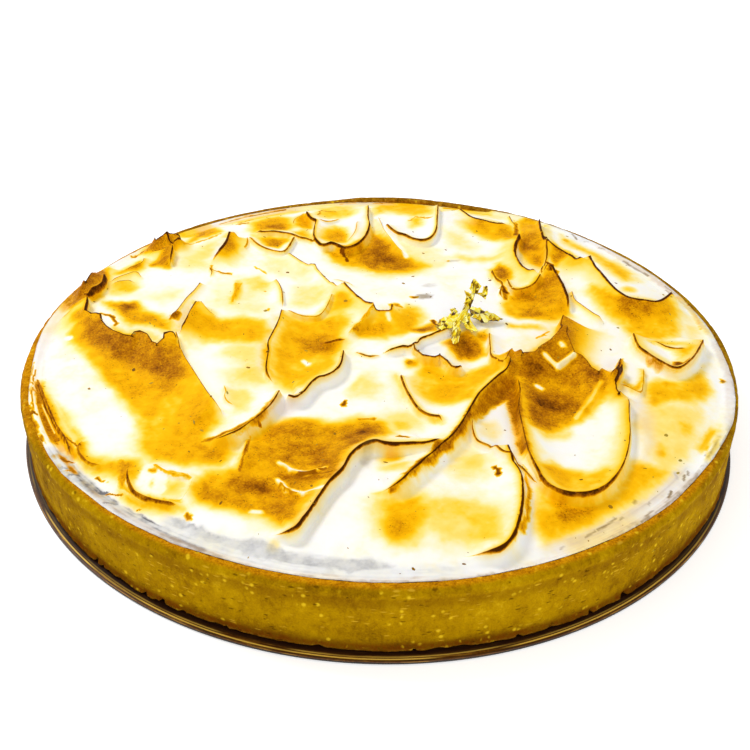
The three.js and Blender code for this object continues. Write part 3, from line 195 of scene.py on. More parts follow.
# outlines of painted patches: t torched, g painted shade on a fall, k tan smear, w browned fall, o olive stain;
# strength, softness, corners
POLY = [
    ("t", 0.52, 1.3, [(-99.3, 9.7), (-96, 4.7), (-99.3, 1), (-98.5, -3.4), (-92, -11), (-88.2, -16.4), (-84.3, -20.8), (-81.5, -25.2), (-77.6, -28.7), (-73.5, -36), (-69.4, -42.6), (-67.1, -51.5), (-66.1, -59.7), (-61, -64), (-52, -67), (-45, -66), (-40.1, -59.5), (-36.9, -54.5), (-39.7, -55.1), (-48, -54), (-48, -51), (-43.9, -46.5), (-45.7, -42), (-50.2, -31.1), (-54.3, -22.5), (-58.4, -12.8), (-62.3, -5.7), (-64.2, -4.9), (-67, -6.8), (-69.9, -5.6), (-73.2, -0), (-77.1, 3.3), (-80.1, 0.3), (-84.1, 3.3), (-88.2, 6.7), (-91, 12), (-95.2, 7.9)]),
    ("t", 0.76, 2, [(-96.6, 7.3), (-90.1, 5.3), (-88.2, 5.7), (-84.1, 2.3), (-80.1, 0.3), (-76.2, 2.6), (-72.2, -1), (-68.8, -6), (-64.6, -9.7), (-62.3, -5.7), (-58.4, -13.9), (-56.3, -27.6), (-61.9, -27.6), (-68.3, -22.8), (-74.4, -19.5), (-80.3, -16.8), (-86, -13), (-90.8, -9.6), (-93.7, -4), (-96.5, 2.4)]),
    ("t", 0.84, 4, [(-89.1, -4.2), (-83.4, -4.8), (-78.5, -6.8), (-74.8, -6.1), (-69.8, -11.4), (-64.8, -11.7), (-61, -15), (-59.3, -20.4), (-61.7, -23.2), (-66.7, -19.2), (-73.9, -15.3), (-81.9, -13.3), (-87.7, -9.9)]),
    ("t", 0.9, 4.5, [(-66.8, -13.3), (-63, -14), (-59.8, -19.4), (-61.7, -22.5), (-65.6, -18.8), (-71.6, -14.9), (-73.2, -11.1)]),
    ("t", 0.62, 2, [(-66.3, -24.8), (-57.4, -27), (-54.3, -31.8), (-56.7, -35.7), (-64.2, -32.1), (-70.5, -27)]),
    ("t", 0.66, 2.2, [(-52, -55), (-43.7, -56.6), (-39.1, -59.2), (-44, -65), (-51, -63)]),
    ("t", 0.26, 3.2, [(-46.1, -2.4), (-37, -2.7), (-35.6, -9.4), (-35.1, -19.4), (-33, -26), (-38, -27), (-46, -25.7), (-49.1, -19.4), (-44, -15.7), (-50.2, -9.1)]),
    ("t", 0.38, 3.2, [(-41, -14.7), (-36.1, -15.4), (-34.5, -21), (-33, -26), (-38, -26.5), (-45, -25.7), (-44, -20.7)]),
    ("t", 0.28, 1.2, [(-46, -30), (-39, -28), (-35.8, -34.4), (-37.8, -41.7), (-43, -41), (-45, -35.7)]),
    ("t", 0.5, 1.6, [(-62.2, 16.6), (-58.1, 13.9), (-52.9, 11.3), (-45, 12.7), (-37, 11), (-34.6, 4.7), (-36.1, -2.4), (-41, -3.7), (-47.1, -2.4), (-54.2, -2.7), (-59.9, -0.6), (-63.8, 5.3), (-63.5, 10)]),
    ("t", 0.6, 2, [(-60.3, 6), (-55.8, 8), (-55.1, 1.6), (-59.7, 0.4)]),
    ("t", 0.16, 2, [(-59.1, 16.8), (-49.9, 13.7), (-38, 11.7), (-35.9, 19.3), (-40, 38), (-48, 40), (-57.9, 35.6)]),
    ("t", 0.64, 1.4, [(-92.1, 20.3), (-86, 19), (-80, 21), (-77, 15), (-72, 13), (-67, 8.5), (-66.2, 4), (-68.1, 3.7), (-72.1, 5.2), (-76.1, 6.3), (-80.1, 4.8), (-82, 8), (-85, 12), (-88, 15)]),
    ("t", 0.9, 1.3, [(-86, 20), (-81, 20), (-80, 16), (-82, 12), (-85, 14)]),
    ("w", 0.9, 0.7, [(-68.4, 13.3), (-64.3, 11.7), (-64.9, 8.7), (-68.1, 9)]),
    ("t", 0.75, 1, [(-60.3, 19.9), (-61.9, 15.7), (-62.7, 9.7), (-63.5, 5.3), (-64.4, 5), (-63.8, 10), (-62.7, 15.6), (-61.1, 19.9)]),
    ("t", 0.3, 1.2, [(-58.9, 14.8), (-55.8, 16.6), (-52.9, 12.7), (-57.6, 9.7), (-61.1, 7)]),
    ("t", 0.62, 0.8, [(-34.2, -7.2), (-33.4, -13.7), (-33, -19.7), (-31.4, -23.9), (-32.9, -24.6), (-34.8, -18), (-36.1, -9.4), (-36.1, -2.4)]),
    ("t", 0.58, 1, [(-49.5, 36.6), (-48, 35.6), (-47.3, 26.2), (-48.4, 20), (-49.8, 20), (-49.6, 27.9)]),
    ("t", 0.36, 1.5, [(-49, 37.6), (-43, 41), (-36.7, 34.5), (-36.9, 29.9), (-44.9, 27.3)]),
    ("t", 0.72, 1.4, [(-92.5, 40.8), (-89.7, 45.9), (-87, 48.2), (-84.5, 52.2), (-82.7, 44.5), (-83.9, 41.6), (-88.2, 40.7)]),
    ("t", 0.46, 1.6, [(-92, 33), (-87.8, 34.3), (-84, 34), (-81, 30), (-83, 26), (-90, 25)]),
    ("t", 0.8, 1.6, [(-107.3, 24.1), (-105.3, 33.2), (-102.2, 41.3), (-99.2, 46.4), (-96.1, 47), (-93.3, 39.1), (-92.2, 32.7), (-93, 24), (-96.1, 16.9), (-100.8, 14.3), (-106.3, 18)]),
    ("w", 0.62, 0.9, [(-101.7, 40.3), (-95.7, 34.3), (-93.6, 31), (-94, 25.7), (-97.4, 21.2), (-97.9, 23.4)]),
    ("t", 0.2, 2, [(-90, 25), (-80, 28), (-67.9, 29.6), (-65.9, 23.7), (-72, 20), (-80, 22)]),
    ("t", 0.28, 2, [(-71.3, 56.5), (-60, 66), (-57.5, 49), (-62, 44), (-70, 46)]),
    ("t", 0.7, 1.2, [(-86, 66.6), (-83, 71.2), (-76.9, 59.7), (-76.9, 74.9), (-72, 58.7), (-70.3, 58.5), (-72.7, 55.5), (-75.7, 53.4), (-80.4, 53.3), (-86.9, 57.8)]),
    ("t", 0.86, 1, [(-74.9, 57.6), (-78.3, 52.6), (-80.4, 45.6), (-74, 43.5), (-73.8, 49.4), (-74.2, 55.8)]),
    ("t", 0.66, 1.3, [(-71, 60.9), (-68.7, 77), (-62.6, 80.6), (-59.1, 73.4), (-63.1, 69.4), (-67.1, 67.8)]),
    ("t", 0.62, 1.2, [(-56.4, 72.2), (-52.7, 64.6), (-50.6, 60.3), (-50.8, 55.5), (-54.5, 50.6), (-57.8, 50.4), (-58.5, 65)]),
    ("t", 0.55, 1.6, [(-50.1, 80.4), (-46.1, 85.2), (-39.1, 88.7), (-34, 85), (-33, 78), (-35, 75.1), (-44.6, 71.8), (-49, 75)]),
    ("t", 0.68, 1.8, [(-46, 80.5), (-40, 82), (-35, 79), (-36, 75.6), (-45, 75.6)]),
    ("t", 0.66, 1.2, [(-47.5, 72), (-41.7, 71.6), (-33.8, 70.6), (-33.8, 64.3), (-36.9, 60.3), (-41.8, 61.1)]),
    ("t", 0.66, 1, [(-29.6, 90.8), (-33, 85.4), (-32.9, 79.2), (-28.1, 76.8), (-26.1, 77.7), (-25.8, 81.3)]),
    ("t", 0.52, 1.5, [(-23.7, 65.3), (-29.9, 67.8), (-33.9, 74.2), (-28.1, 77.8), (-24.8, 70.4)]),
    ("t", 0.56, 1.4, [(-23.2, 66.2), (-21.9, 76), (-17, 80.4), (-13, 78.4), (-11.9, 67.2), (-16.8, 62.8), (-20.9, 66.5)]),
    ("t", 0.38, 1.6, [(-27.7, 84.9), (-25.2, 98.8), (-18.2, 102.7), (-11.1, 100.4), (-10, 88.9), (-16, 86), (-22.9, 84.8)]),
    ("t", 0.4, 2, [(-60.6, 84.1), (-48.5, 92.6), (-35.4, 99.6), (-30.2, 94.5), (-40.1, 88.2), (-52.2, 81.2)]),
    ("t", 0.22, 2.5, [(-42, 57.6), (-27.1, 50.7), (-20.1, 43.1), (-26, 36), (-36, 40), (-40, 48)]),
    ("t", 0.2, 1.3, [(-6.4, 89.1), (-2, 90), (1, 79.8), (6.9, 71.6), (11.9, 67.5), (16.9, 67.9), (20, 62.8), (25.1, 58.1), (24.1, 53.5), (18.1, 47.9), (11.1, 44.3), (3, 42.5), (-5, 43.5), (-12.1, 47.9), (-17.1, 51.5), (-19.1, 59.5), (-15, 60.2), (-9.9, 62.6), (-6.9, 67.4), (-5.5, 75.5), (-5.3, 86.8)]),
    ("t", 0.76, 2.5, [(-4, 78.4), (-0, 72.2), (6, 61.2), (10.1, 58.3), (16.1, 52.2), (10.1, 47.2), (0, 46.2), (-8, 49.2), (-11, 56.9), (-6, 66.8)]),
    ("t", 0.88, 3.5, [(-4, 67.2), (2, 63.2), (8.1, 57.3), (8.1, 51), (0, 50), (-6, 53.6), (-6, 61.5)]),
    ("w", 0.85, 0.7, [(-14.5, 59.6), (-12.9, 58.9), (-11.3, 54.3), (-12.7, 53.9), (-14.3, 57.4)]),
    ("t", 0.42, 1.6, [(-4, 104.7), (3.1, 109.2), (12.2, 108.2), (19.2, 104.7), (18.8, 88.4), (10, 90), (-0, 93)]),
    ("t", 0.45, 1.2, [(-4, 99.5), (0, 103.3), (1, 93), (-3, 90.4)]),
    ("t", 0.44, 1.2, [(10, 86), (14, 87.2), (14.9, 81.8), (10, 80)]),
    ("t", 0.75, 0.8, [(29.4, 104.1), (36.5, 103.1), (43.6, 101.1), (40.5, 100.1), (33.4, 100.7)]),
    ("t", 0.52, 1.3, [(-2.5, 14.2), (0, 18.7), (3.9, 16.7), (8, 24), (12, 22), (14, 16), (12, 8.7), (8, 3.7), (2, 0), (-4, 1.3), (-9, 2), (-9, 8.3), (-4.9, 10.9)]),
    ("t", 0.64, 1.5, [(-4, 10.6), (3, 12), (6, 7.7), (0, 2), (-6, 4.3), (-6.9, 7)]),
    ("w", 0.95, 0.8, [(-3, 13.4), (-5.9, 9), (-8.9, 4), (-9.4, 1.7), (-8, 3), (-6.5, 6.7), (-4, 10.3)]),
    ("w", 0.7, 0.6, [(2, 23.5), (5, 24), (7, 22), (4.9, 17.7), (3, 18.5)]),
    ("t", 0.5, 1.6, [(-33, 12.3), (-25.9, 12.3), (-19.9, 13.6), (-14, 19), (-9, 14), (-11, 7.3), (-12, 2), (-10.5, -1.7), (-12.3, -13.3), (-12.8, -19.6), (-17.7, -25.1), (-21.7, -31.4), (-28, -30), (-31.9, -24.9), (-33.6, -18), (-33.6, -8.8)]),
    ("t", 0.64, 2.5, [(-28, 2), (-16, 6.7), (-13, -5.7), (-20, -10.4), (-28.1, -7.4)]),
    ("t", 0.55, 2, [(-19.9, 14), (-12, 17.7), (-12, 9.3), (-19, 8.7)]),
    ("t", 0.5, 1.4, [(-20.9, 15), (-17.9, 19.9), (-15.9, 29.8), (-11.8, 29), (-7.9, 22.1), (-7.9, 18.2), (-14, 16.3)]),
    ("t", 0.24, 1.6, [(-30, 33), (-21.9, 36.6), (-16.9, 30.8), (-18.9, 22.6), (-24, 18.3), (-31, 20)]),
    ("w", 0.85, 0.6, [(-19.6, -1.7), (-15.9, -2.3), (-12, -0.5), (-12, -1.1), (-16, -2.8)]),
    ("t", 0.82, 1.2, [(8, 8), (14, 8.3), (17, 11.3), (18.9, 9.7), (16.8, 3.4), (12.9, 3.4), (9, 6)]),
    ("t", 0.72, 1, [(16.8, 1.7), (21.9, 4.4), (26.9, 5.2), (29.9, 3.3), (32.1, -0.4), (33.1, -6.1), (29.4, -6.6), (24.2, -8.6), (22, -5.4), (19, -1)]),
    ("t", 0.8, 1.3, [(23.9, 2.3), (28, 1.7), (30.2, -2.4), (30.3, -6.2), (25.2, -6.7), (24.1, -3)]),
    ("t", 0.6, 1, [(29.9, 5), (34, 7.7), (33.9, 1.7), (32.1, -1), (30.5, 2)]),
    ("t", 0.48, 1.6, [(11.9, -10.9), (18.8, -12.5), (22.7, -18.1), (26.1, -15.4), (32, -12.7), (37, -18.5), (39.3, -13.3), (38.2, -19.5), (34.4, -24.2), (30.5, -29.7), (26.5, -37.2), (20.8, -36), (15, -34.6), (10.9, -31.7), (7.9, -24.7), (11, -15)]),
    ("t", 0.58, 2, [(14, -15.7), (24, -18.3), (26.7, -27), (21.8, -33), (14, -29.3)]),
    ("t", 0.66, 1, [(7, -12), (9, -9.1), (12, -12.3), (11, -15), (8, -15)]),
    ("t", 0.26, 1.6, [(-10, -19.4), (-3, -19), (0, -26), (-2, -33), (-9, -33), (-12, -26.4)]),
    ("t", 0.24, 1.6, [(-0, -40), (8, -37.7), (13.9, -43.1), (12, -48.5), (3, -50.4), (-4, -45)]),
    ("t", 0.46, 1, [(3, -43), (8, -43), (9, -47.3), (4, -48.5)]),
    ("t", 0.55, 0.9, [(5.2, -19), (6.3, -25.9), (8.2, -32.5), (10.4, -38), (13.4, -42), (16.8, -44.4), (17.3, -46), (14.9, -43.8), (11, -40.1), (8, -34), (6, -27), (4.7, -20)]),
    ("t", 0.62, 1.6, [(-35.9, -52.5), (-31, -45.7), (-24, -41.7), (-14, -44), (-6, -42), (2, -43), (4, -50.1), (-0, -56.1), (-4, -57.8), (-7.9, -62.7), (-9.8, -68.6), (-13.8, -74.7), (-16.7, -81.1), (-18.7, -88), (-20.7, -92.5), (-28.1, -86.3), (-38.1, -83.5), (-47, -80.8), (-48.8, -75), (-46, -68), (-38, -66)]),
    ("t", 0.76, 2, [(-33.9, -55.8), (-22, -52), (-12, -53.8), (-9.8, -64.9), (-11.8, -70.8), (-22, -63), (-32.9, -64.5)]),
    ("t", 0.8, 1.6, [(-12, -52.5), (-7, -46), (0, -44), (2, -50.6), (-3, -57.1), (-7.9, -61)]),
    ("t", 1.08, 1.3, [(-27, -66.7), (-20, -69.5), (-12.8, -71.6), (-10.8, -70.1), (-12.8, -73.5), (-19.9, -72.2), (-27, -69.8)]),
    ("t", 0.8, 1.3, [(-27, -60), (-20, -62.5), (-11.9, -63.9), (-11.8, -66.9), (-20, -65.3), (-27, -62.5)]),
    ("t", 0.98, 2, [(-39, -69.8), (-32, -68.7), (-28.1, -71.5), (-26.1, -75), (-30.1, -78), (-38.1, -77.5), (-42, -73.8)]),
    ("t", 0.5, 1.5, [(-49, -70), (-40, -68), (-40.1, -79.5), (-48, -78.2)]),
    ("t", 0.62, 1.8, [(-27.1, -77), (-19.9, -79.4), (-18.7, -88), (-21.7, -90.5), (-29.1, -84.1)]),
    ("w", 1, 0.7, [(-35.5, -52.3), (-35.3, -59.8), (-35.7, -64.8), (-36.3, -68), (-37.6, -68), (-36.9, -63), (-36.7, -55.8)]),
    ("w", 0.7, 0.8, [(-62, -66), (-56.7, -69), (-49.9, -70.7), (-50, -72), (-55.9, -70.5), (-62, -67.5)]),
    ("t", 0.56, 1.2, [(-82.7, -55.9), (-77.5, -60.5), (-71.2, -63.2), (-64, -63), (-61.5, -67), (-63.1, -73.8), (-67.5, -72), (-72.6, -69), (-79, -66), (-82.1, -60.7)]),
    ("w", 0.65, 1, [(-71.2, -63.2), (-66.1, -64.7), (-64.9, -69.5), (-66.4, -72.5), (-64.3, -75.8), (-67.6, -73.8), (-69.4, -68.8)]),
    ("t", 0.6, 1.2, [(-67.6, -73.8), (-61.2, -78.3), (-52, -80), (-49.2, -83.1), (-54.5, -83.9), (-60.7, -81.2), (-66.8, -77.1)]),
    ("w", 0.6, 0.8, [(-66.4, -72.5), (-62.1, -77.3), (-57, -79), (-50, -80), (-50.2, -81.3), (-58.3, -79.8), (-64.6, -76.3)]),
    ("t", 0.4, 1, [(-56.1, -71.8), (-51.1, -72.8), (-51.1, -77.8), (-56.1, -77.8)]),
    ("t", 0.7, 1, [(-101, -27.1), (-96.6, -32.3), (-93.2, -39), (-89.2, -46.8), (-85.1, -54.1), (-81.7, -59.9), (-84.1, -60.7), (-88.4, -53.8), (-92.4, -45.9), (-96.8, -38.4), (-101.2, -29.5)]),
    ("w", 0.95, 0.6, [(-102.6, -23.3), (-99.9, -27.8), (-96.9, -33.4), (-95.1, -38.3), (-97.3, -36.9), (-99.7, -31.6), (-102.7, -25.5)]),
    ("t", 0.45, 1, [(-93.8, -35.7), (-90.9, -38.2), (-85.9, -46.3), (-79.5, -55.4), (-80.4, -57.7), (-87.8, -47.6)]),
    ("t", 0.8, 0.9, [(-83.3, -53.1), (-81.4, -54.7), (-80.4, -58.7), (-78.3, -62), (-80.7, -61.7), (-82.7, -57.9)]),
    ("t", 0.5, 2.2, [(-1, -78.5), (3.9, -77.2), (11, -75.2), (13.9, -81.2), (12.9, -88.9), (9, -95), (3, -95), (-0, -88.5)]),
    ("t", 0.22, 2.5, [(12.9, -80), (25.9, -76.7), (34.4, -80.1), (35.7, -87.6), (31.7, -95), (24, -97.8), (15, -95.6), (10, -90.7)]),
    ("t", 0.34, 1.6, [(21.9, -81), (28.8, -81.7), (30.6, -90.8), (25.9, -91.9), (20.9, -87.9)]),
    ("t", 0.4, 1.4, [(-1, -58), (5, -58.8), (9.8, -64.4), (7.8, -70.4), (1, -65.8)]),
    ("t", 0.24, 2, [(17.9, -58.8), (26.1, -53.5), (30.7, -60.6), (28.8, -68.3), (21, -68.3), (17, -62.7)]),
    ("t", 0.3, 1.2, [(28, -41), (33, -41.7), (35, -48), (31.9, -52.8), (27.8, -49.4)]),
    ("t", 0.74, 0.8, [(24.4, -43.9), (20.1, -53.3), (15.3, -60.4), (10.3, -67.6), (7.8, -71.3), (9.4, -70.3), (12.4, -66.3), (17.9, -58.8), (22.9, -51.4), (26.9, -42.1)]),
    ("t", 0.72, 0.8, [(6.8, -72.5), (3.9, -76.5), (-1, -76.5), (-0, -77), (4.9, -77), (7.9, -72.5)]),
    ("w", 1.1, 0.5, [(6.3, -73.3), (4.5, -75.7), (2.2, -76.5), (1.2, -76.5), (3, -77.2), (5.4, -76), (7.2, -73.1)]),
    ("w", 0.8, 1.2, [(39.7, -19.3), (38, -21.1), (35, -23.9), (31.3, -29.2), (28.9, -33.3), (26.6, -38.5), (24.6, -43.7), (26.9, -43.4), (31.1, -37.4), (35.6, -32.4), (39.4, -30.1), (40, -24)]),
    ("g", 0.15, 1.2, [(26.8, -45.2), (32.1, -38.4), (38.1, -32.1), (39, -45), (38.1, -55.5), (32.2, -59.9), (27.7, -53.4)]),
    ("w", 0.75, 0.5, [(38.1, -61.8), (38.9, -67.2), (38.4, -76.5), (36.8, -85.2), (34.3, -91.9), (31.3, -96.1), (33.5, -94.2), (36.6, -89.3), (38.8, -81.8), (39.9, -72.3), (39.4, -66)]),
    ("t", 0.78, 1.6, [(40.2, -11), (48.1, -3.2), (50.9, -0.3), (54.6, -9.4), (60, -6.7), (63.5, -9), (66.1, -13.7), (68.1, -21.8), (67.1, -25.6), (63.9, -29.3), (61.4, -34.3), (57.5, -38.8), (52.4, -43.1), (47.1, -46.5), (42.6, -46.5), (40.9, -42), (40.8, -26.5), (39.9, -19)]),
    ("t", 0.94, 2.2, [(42.4, -30.5), (50.1, -23.4), (57.2, -25.1), (58.4, -31.3), (55.4, -36), (48.2, -36.9), (43.7, -35.7)]),
    ("t", 0.88, 2, [(41.9, -13.6), (48.9, -13.3), (52.7, -17.8), (55.1, -21.7), (50, -22), (42.4, -27.9), (41.5, -18.4)]),
    ("t", 0.74, 1.6, [(59, -13), (65.2, -13.1), (67.6, -22.8), (67.1, -25.6), (62.6, -23.8), (58.6, -17.8)]),
    ("t", 0.4, 1.4, [(42.6, -47.5), (48.2, -45.9), (54.5, -43.8), (52.4, -48.1), (46, -50.3)]),
    ("t", 0.52, 1.2, [(42.2, -64.7), (46.9, -60.5), (50.1, -62.5), (57.1, -63.7), (61.6, -62.6), (63, -66.6), (59, -72.3), (54.1, -75.2), (48.2, -75.5), (44.8, -71.8)]),
    ("t", 0.5, 1, [(65.2, -23.6), (68, -27.9), (62.4, -34.3), (57.5, -39.8), (55.5, -38.8), (61.1, -32.7)]),
    ("t", 0.5, 1.8, [(41.2, -71), (49.6, -76.5), (57.6, -74.5), (65.1, -65.7), (69.2, -58.2), (73.2, -59.5), (79.6, -61.2), (76.6, -66), (67.6, -75.1), (59.6, -81.9), (49.4, -88.2), (41.4, -93), (38.6, -85.5), (40.1, -76.5)]),
    ("t", 0.66, 2.2, [(44, -74.2), (51.6, -76.7), (60.2, -73.3), (60.4, -79.3), (54.5, -85.1), (45.2, -86.8), (42, -82)]),
    ("t", 0.3, 1.6, [(70.5, -41.7), (76, -34), (80, -30), (88.1, -31.7), (93.6, -32.3), (91.7, -41.1), (88.8, -49.6), (83.8, -57.7), (77.5, -62.5), (73.1, -57.7), (74.1, -47.7)]),
    ("t", 0.44, 1.4, [(78.1, -26.7), (82, -27), (82, -35), (77, -34)]),
    ("t", 0.46, 1.6, [(84, -38), (89.4, -39.9), (89.7, -45.1), (85.4, -46.9), (83.1, -42.7)]),
    ("t", 0.42, 1.3, [(75.1, -49.7), (80.1, -47.7), (80.4, -55.7), (76.2, -57.5)]),
    ("t", 0.5, 0.8, [(97.1, -38.9), (95, -40.2), (90.9, -45.5), (87.7, -50.9), (89.4, -50.8), (93.1, -46), (96.6, -41.5)]),
    ("t", 0.54, 1.4, [(79.6, -20.7), (84.2, -17.4), (89.4, -16.8), (99.9, -7.2), (98.7, -14.9), (99.9, -21.3), (96.7, -27), (91.3, -31.1), (85, -31), (80, -34), (77.5, -31), (78.6, -25.7)]),
    ("w", 0.9, 1, [(80.6, -7.2), (83, -10.5), (86.6, -14.7), (88.2, -15.9), (87.3, -16), (84.8, -14.6), (82.2, -11.4)]),
    ("w", 1.1, 0.8, [(89.1, -10.8), (91.3, -13.3), (94.4, -10.6), (94.1, -11.8), (90.5, -15.5), (88.4, -15.8)]),
    ("t", 0.52, 1.2, [(90.8, -10.8), (94.5, -8.8), (99, -1.9), (96.3, 0.7), (92, -4.2)]),
    ("t", 0.1, 1.2, [(79.8, 0.4), (81.7, -3.9), (84.8, -8.1), (87.8, -2.6), (84.3, 0.4)]),
    ("t", 0.6, 0.8, [(72.3, -20.6), (74.5, -25.8), (76.9, -27.3), (78.9, -21.3), (80.2, -12.4), (79.1, -12.7), (77.2, -21.2), (75.8, -23.6), (73.7, -18.4)]),
    ("w", 0.85, 0.6, [(67.9, -22.9), (71.9, -11.7), (74.5, -7.3), (73.7, -12.8), (71.6, -19.5), (70, -23.2), (68.8, -23.6)]),
    ("g", 0.12, 1.5, [(72, -32), (76.1, -29.7), (77, -45), (75.2, -57.5), (71.1, -59.7), (73.2, -44.4)]),
    ("k", 0.4, 1.5, [(71.9, -30.3), (78.1, -26.7), (78, -40), (76, -52), (72.1, -57.7), (73.7, -44.4)]),
    ("t", 0.52, 1.6, [(71.2, 36.4), (75.6, 32.8), (78.6, 27.9), (84.1, 31.4), (92.5, 31.3), (97.4, 26.9), (99.5, 21.7), (97.6, 14), (95, 6), (89, 4), (80.5, 1.4), (77.2, 13), (73, 20), (70.8, 26.9), (69.6, 32.8)]),
    ("t", 0.76, 2.2, [(73.1, 32), (78.6, 27.4), (86.2, 30.7), (90.6, 22.1), (87.5, 18.3), (79.7, 19), (74.5, 24.9)]),
    ("t", 0.6, 2, [(75.4, 25.2), (86.7, 23.1), (89.8, 16.3), (84.3, 11), (78.2, 14.7)]),
    ("t", 0.24, 1.6, [(97.7, 25), (103.2, 23.8), (104.2, 11.6), (98.3, 2.7), (96.5, 9.7), (98.4, 19.4)]),
    ("t", 0.42, 1, [(80.5, -0.6), (87.3, -0.1), (94.2, -1.6), (97.5, -4.5), (97.1, 0.1), (90.1, 5.3)]),
    ("t", 0.42, 1.6, [(66.6, 79.6), (69.6, 75.2), (72.6, 71.1), (78.7, 65.5), (84.7, 55), (88.6, 45.2), (83, 42), (79, 48), (76.1, 55.4), (74.2, 62.2), (69.1, 66.8), (66.1, 70.4)]),
    ("t", 0.54, 1.6, [(77.4, 60.9), (82.8, 60.4), (87.7, 51), (84.1, 43.4), (80, 48)]),
    ("t", 0.4, 1.4, [(61.5, 52.3), (64.9, 54.2), (71.5, 51.7), (75.1, 52.4), (69, 44.8), (63.5, 47.4)]),
    ("t", 0.74, 1.3, [(61.2, 86.5), (60.1, 72), (64.9, 65.6), (69, 59.5), (62.5, 51.3), (60, 49), (59, 55.8)]),
    ("t", 0.6, 1.3, [(57.6, 42.2), (54.1, 38.1), (49.5, 33.9), (44.6, 33.3), (41.9, 31.9), (40, 26.3), (41, 18.3), (44.1, 16.2), (50.1, 15.7), (57.1, 14.3), (62.1, 17.3), (62.9, 24.3), (63.1, 35.7), (62.1, 43.4), (58.5, 41)]),
    ("t", 0.74, 1.8, [(56.6, 39.8), (58.4, 33.8), (58.9, 24), (55.6, 21.9), (51.9, 29.6), (51.7, 34.2), (54.3, 37.6)]),
    ("t", 0.78, 1.5, [(44.1, 25), (50.1, 24.7), (54.9, 18.7), (52.1, 17.2), (46.1, 17.7)]),
    ("t", 0.7, 2, [(44, 32.6), (49.7, 33.2), (55.5, 29.8), (55.6, 22.6), (47.2, 26.4)]),
    ("w", 1.3, 0.8, [(57.8, 44.8), (60.1, 47.4), (60.9, 45.8), (57.6, 40.3), (55.6, 40.9)]),
    ("t", 0.78, 1.2, [(38, 48.4), (40.8, 52.5), (45.4, 46.5), (44.7, 41.8), (41.2, 36.8), (38.3, 42.5)]),
    ("w", 1.1, 0.7, [(39.8, 36.2), (41.8, 34.7), (43, 33), (41.6, 28.2), (40.3, 29)]),
    ("t", 0.48, 0.8, [(40, 9.3), (46, 8.8), (53.2, 10.5), (57.2, 2.8), (52.1, 12.7), (45, 11.8), (40.5, 12)]),
    ("w", 0.6, 0.8, [(57.8, 4.7), (55.2, -3.4), (53.7, 1.4), (50.4, -0.8), (51.6, -9), (54.9, -6.3), (57.6, -3.9)]),
    ("t", 0.3, 1, [(58.5, 5.1), (62.1, 6.8), (61, 3.5), (58.2, -0.3)]),
    ("t", 0.5, 1.2, [(58.8, -2.2), (61.5, -4.2), (65, -8), (67, -14), (62, -15.7), (58.7, -11.7)]),
    ("t", 0.66, 1.2, [(50.5, 90.1), (54.7, 94), (59.3, 93), (58.4, 73.5), (58.7, 62.7), (58.5, 57.9), (57.3, 53.5), (55.6, 50.7), (52.1, 52.4), (49.6, 58.8), (48.4, 64), (48.7, 68), (50.4, 79.6)]),
    ("t", 1, 1.3, [(50.9, 69.6), (56.4, 66.4), (57.4, 62.5), (54.4, 61.2), (51.1, 64.4)]),
    ("t", 0.8, 1.2, [(52.5, 60), (56.9, 59.2), (57, 56), (54.1, 53.9)]),
    ("w", 0.8, 0.6, [(48.8, 67.9), (52.7, 71.5), (54.1, 69.1), (50.8, 70.6)]),
    ("t", 0.54, 2, [(28.9, 85.2), (38.2, 90.2), (47.1, 85.9), (49.9, 81.1), (50.8, 74.8), (48.3, 66.3), (43.7, 68.1), (37, 72), (32, 78)]),
    ("t", 0.74, 1.6, [(40.8, 81), (46.8, 81.8), (49.4, 77.6), (47.6, 66.3), (43, 73.6)]),
    ("w", 0.95, 0.7, [(49.6, 91), (50.9, 87.3), (50.9, 78.2), (48.7, 68), (47.5, 70), (48.9, 80.6)]),
    ("t", 0.22, 2, [(22, 80.4), (30, 74), (36, 66), (32, 60.4), (24, 66.4)]),
    ("t", 0.34, 1.4, [(22.1, 58.1), (27.1, 60.8), (33, 58.4), (45.3, 60.1), (47.9, 59.2), (39.9, 55.2), (30.1, 53.8)]),
    ("g", 0.15, 1.2, [(-28.8, -34.3), (-21.8, -33.4), (-19.8, -27.9), (-16.8, -25.2), (-11.9, -20.5), (-13, -26.4), (-19, -35.4), (-26.1, -42.4), (-32, -46.3), (-32.7, -45.5)]),
    ("k", 0.45, 1.2, [(-29.2, -35.6), (-23.7, -35.8), (-22, -37.4), (-27.1, -42.4), (-30.9, -43.1)]),
    ("w", 0.85, 0.9, [(-29.6, -35.5), (-32.4, -42.8), (-36.4, -49.2), (-41.4, -52.8), (-48, -53), (-50, -55.5), (-43.6, -56.1), (-37.7, -52.9), (-33.9, -49.5), (-32.1, -45.8), (-30.1, -40)]),
    ("g", 0.2, 0.8, [(-11.4, -12.1), (-9, -7.7), (-9, -15.4), (-12.9, -22.5), (-16.9, -26.1), (-16.8, -25.1), (-12.9, -20.9)]),
    ("g", 0.3, 1, [(-1, -57), (-5.9, -60.4), (-8.9, -66.8), (-12.8, -74.2), (-16.8, -83.4), (-20.8, -92.7), (-25, -93.6), (-18.9, -91.7), (-14.1, -81.1), (-9, -71.5), (-5, -61.5), (-2, -58.1), (3.9, -58.5)]),
    ("g", 0.3, 1.4, [(-7.9, 90.8), (-10, 83.9), (-11, 75.6), (-8.9, 66), (-6.9, 68.2), (-5.7, 76.3), (-6.1, 88)]),
    ("g", 0.16, 1.6, [(21, 97.6), (30.8, 91.9), (33.8, 83.9), (26, 84), (21, 84)]),
    ("g", 0.3, 1.2, [(80.9, -7.2), (86.8, -15), (91.8, -14.7), (97.2, -6.5), (100.5, 0.4), (102.2, -0.5), (95.2, -12.4), (87.7, -16.9), (83.2, -14.4)]),
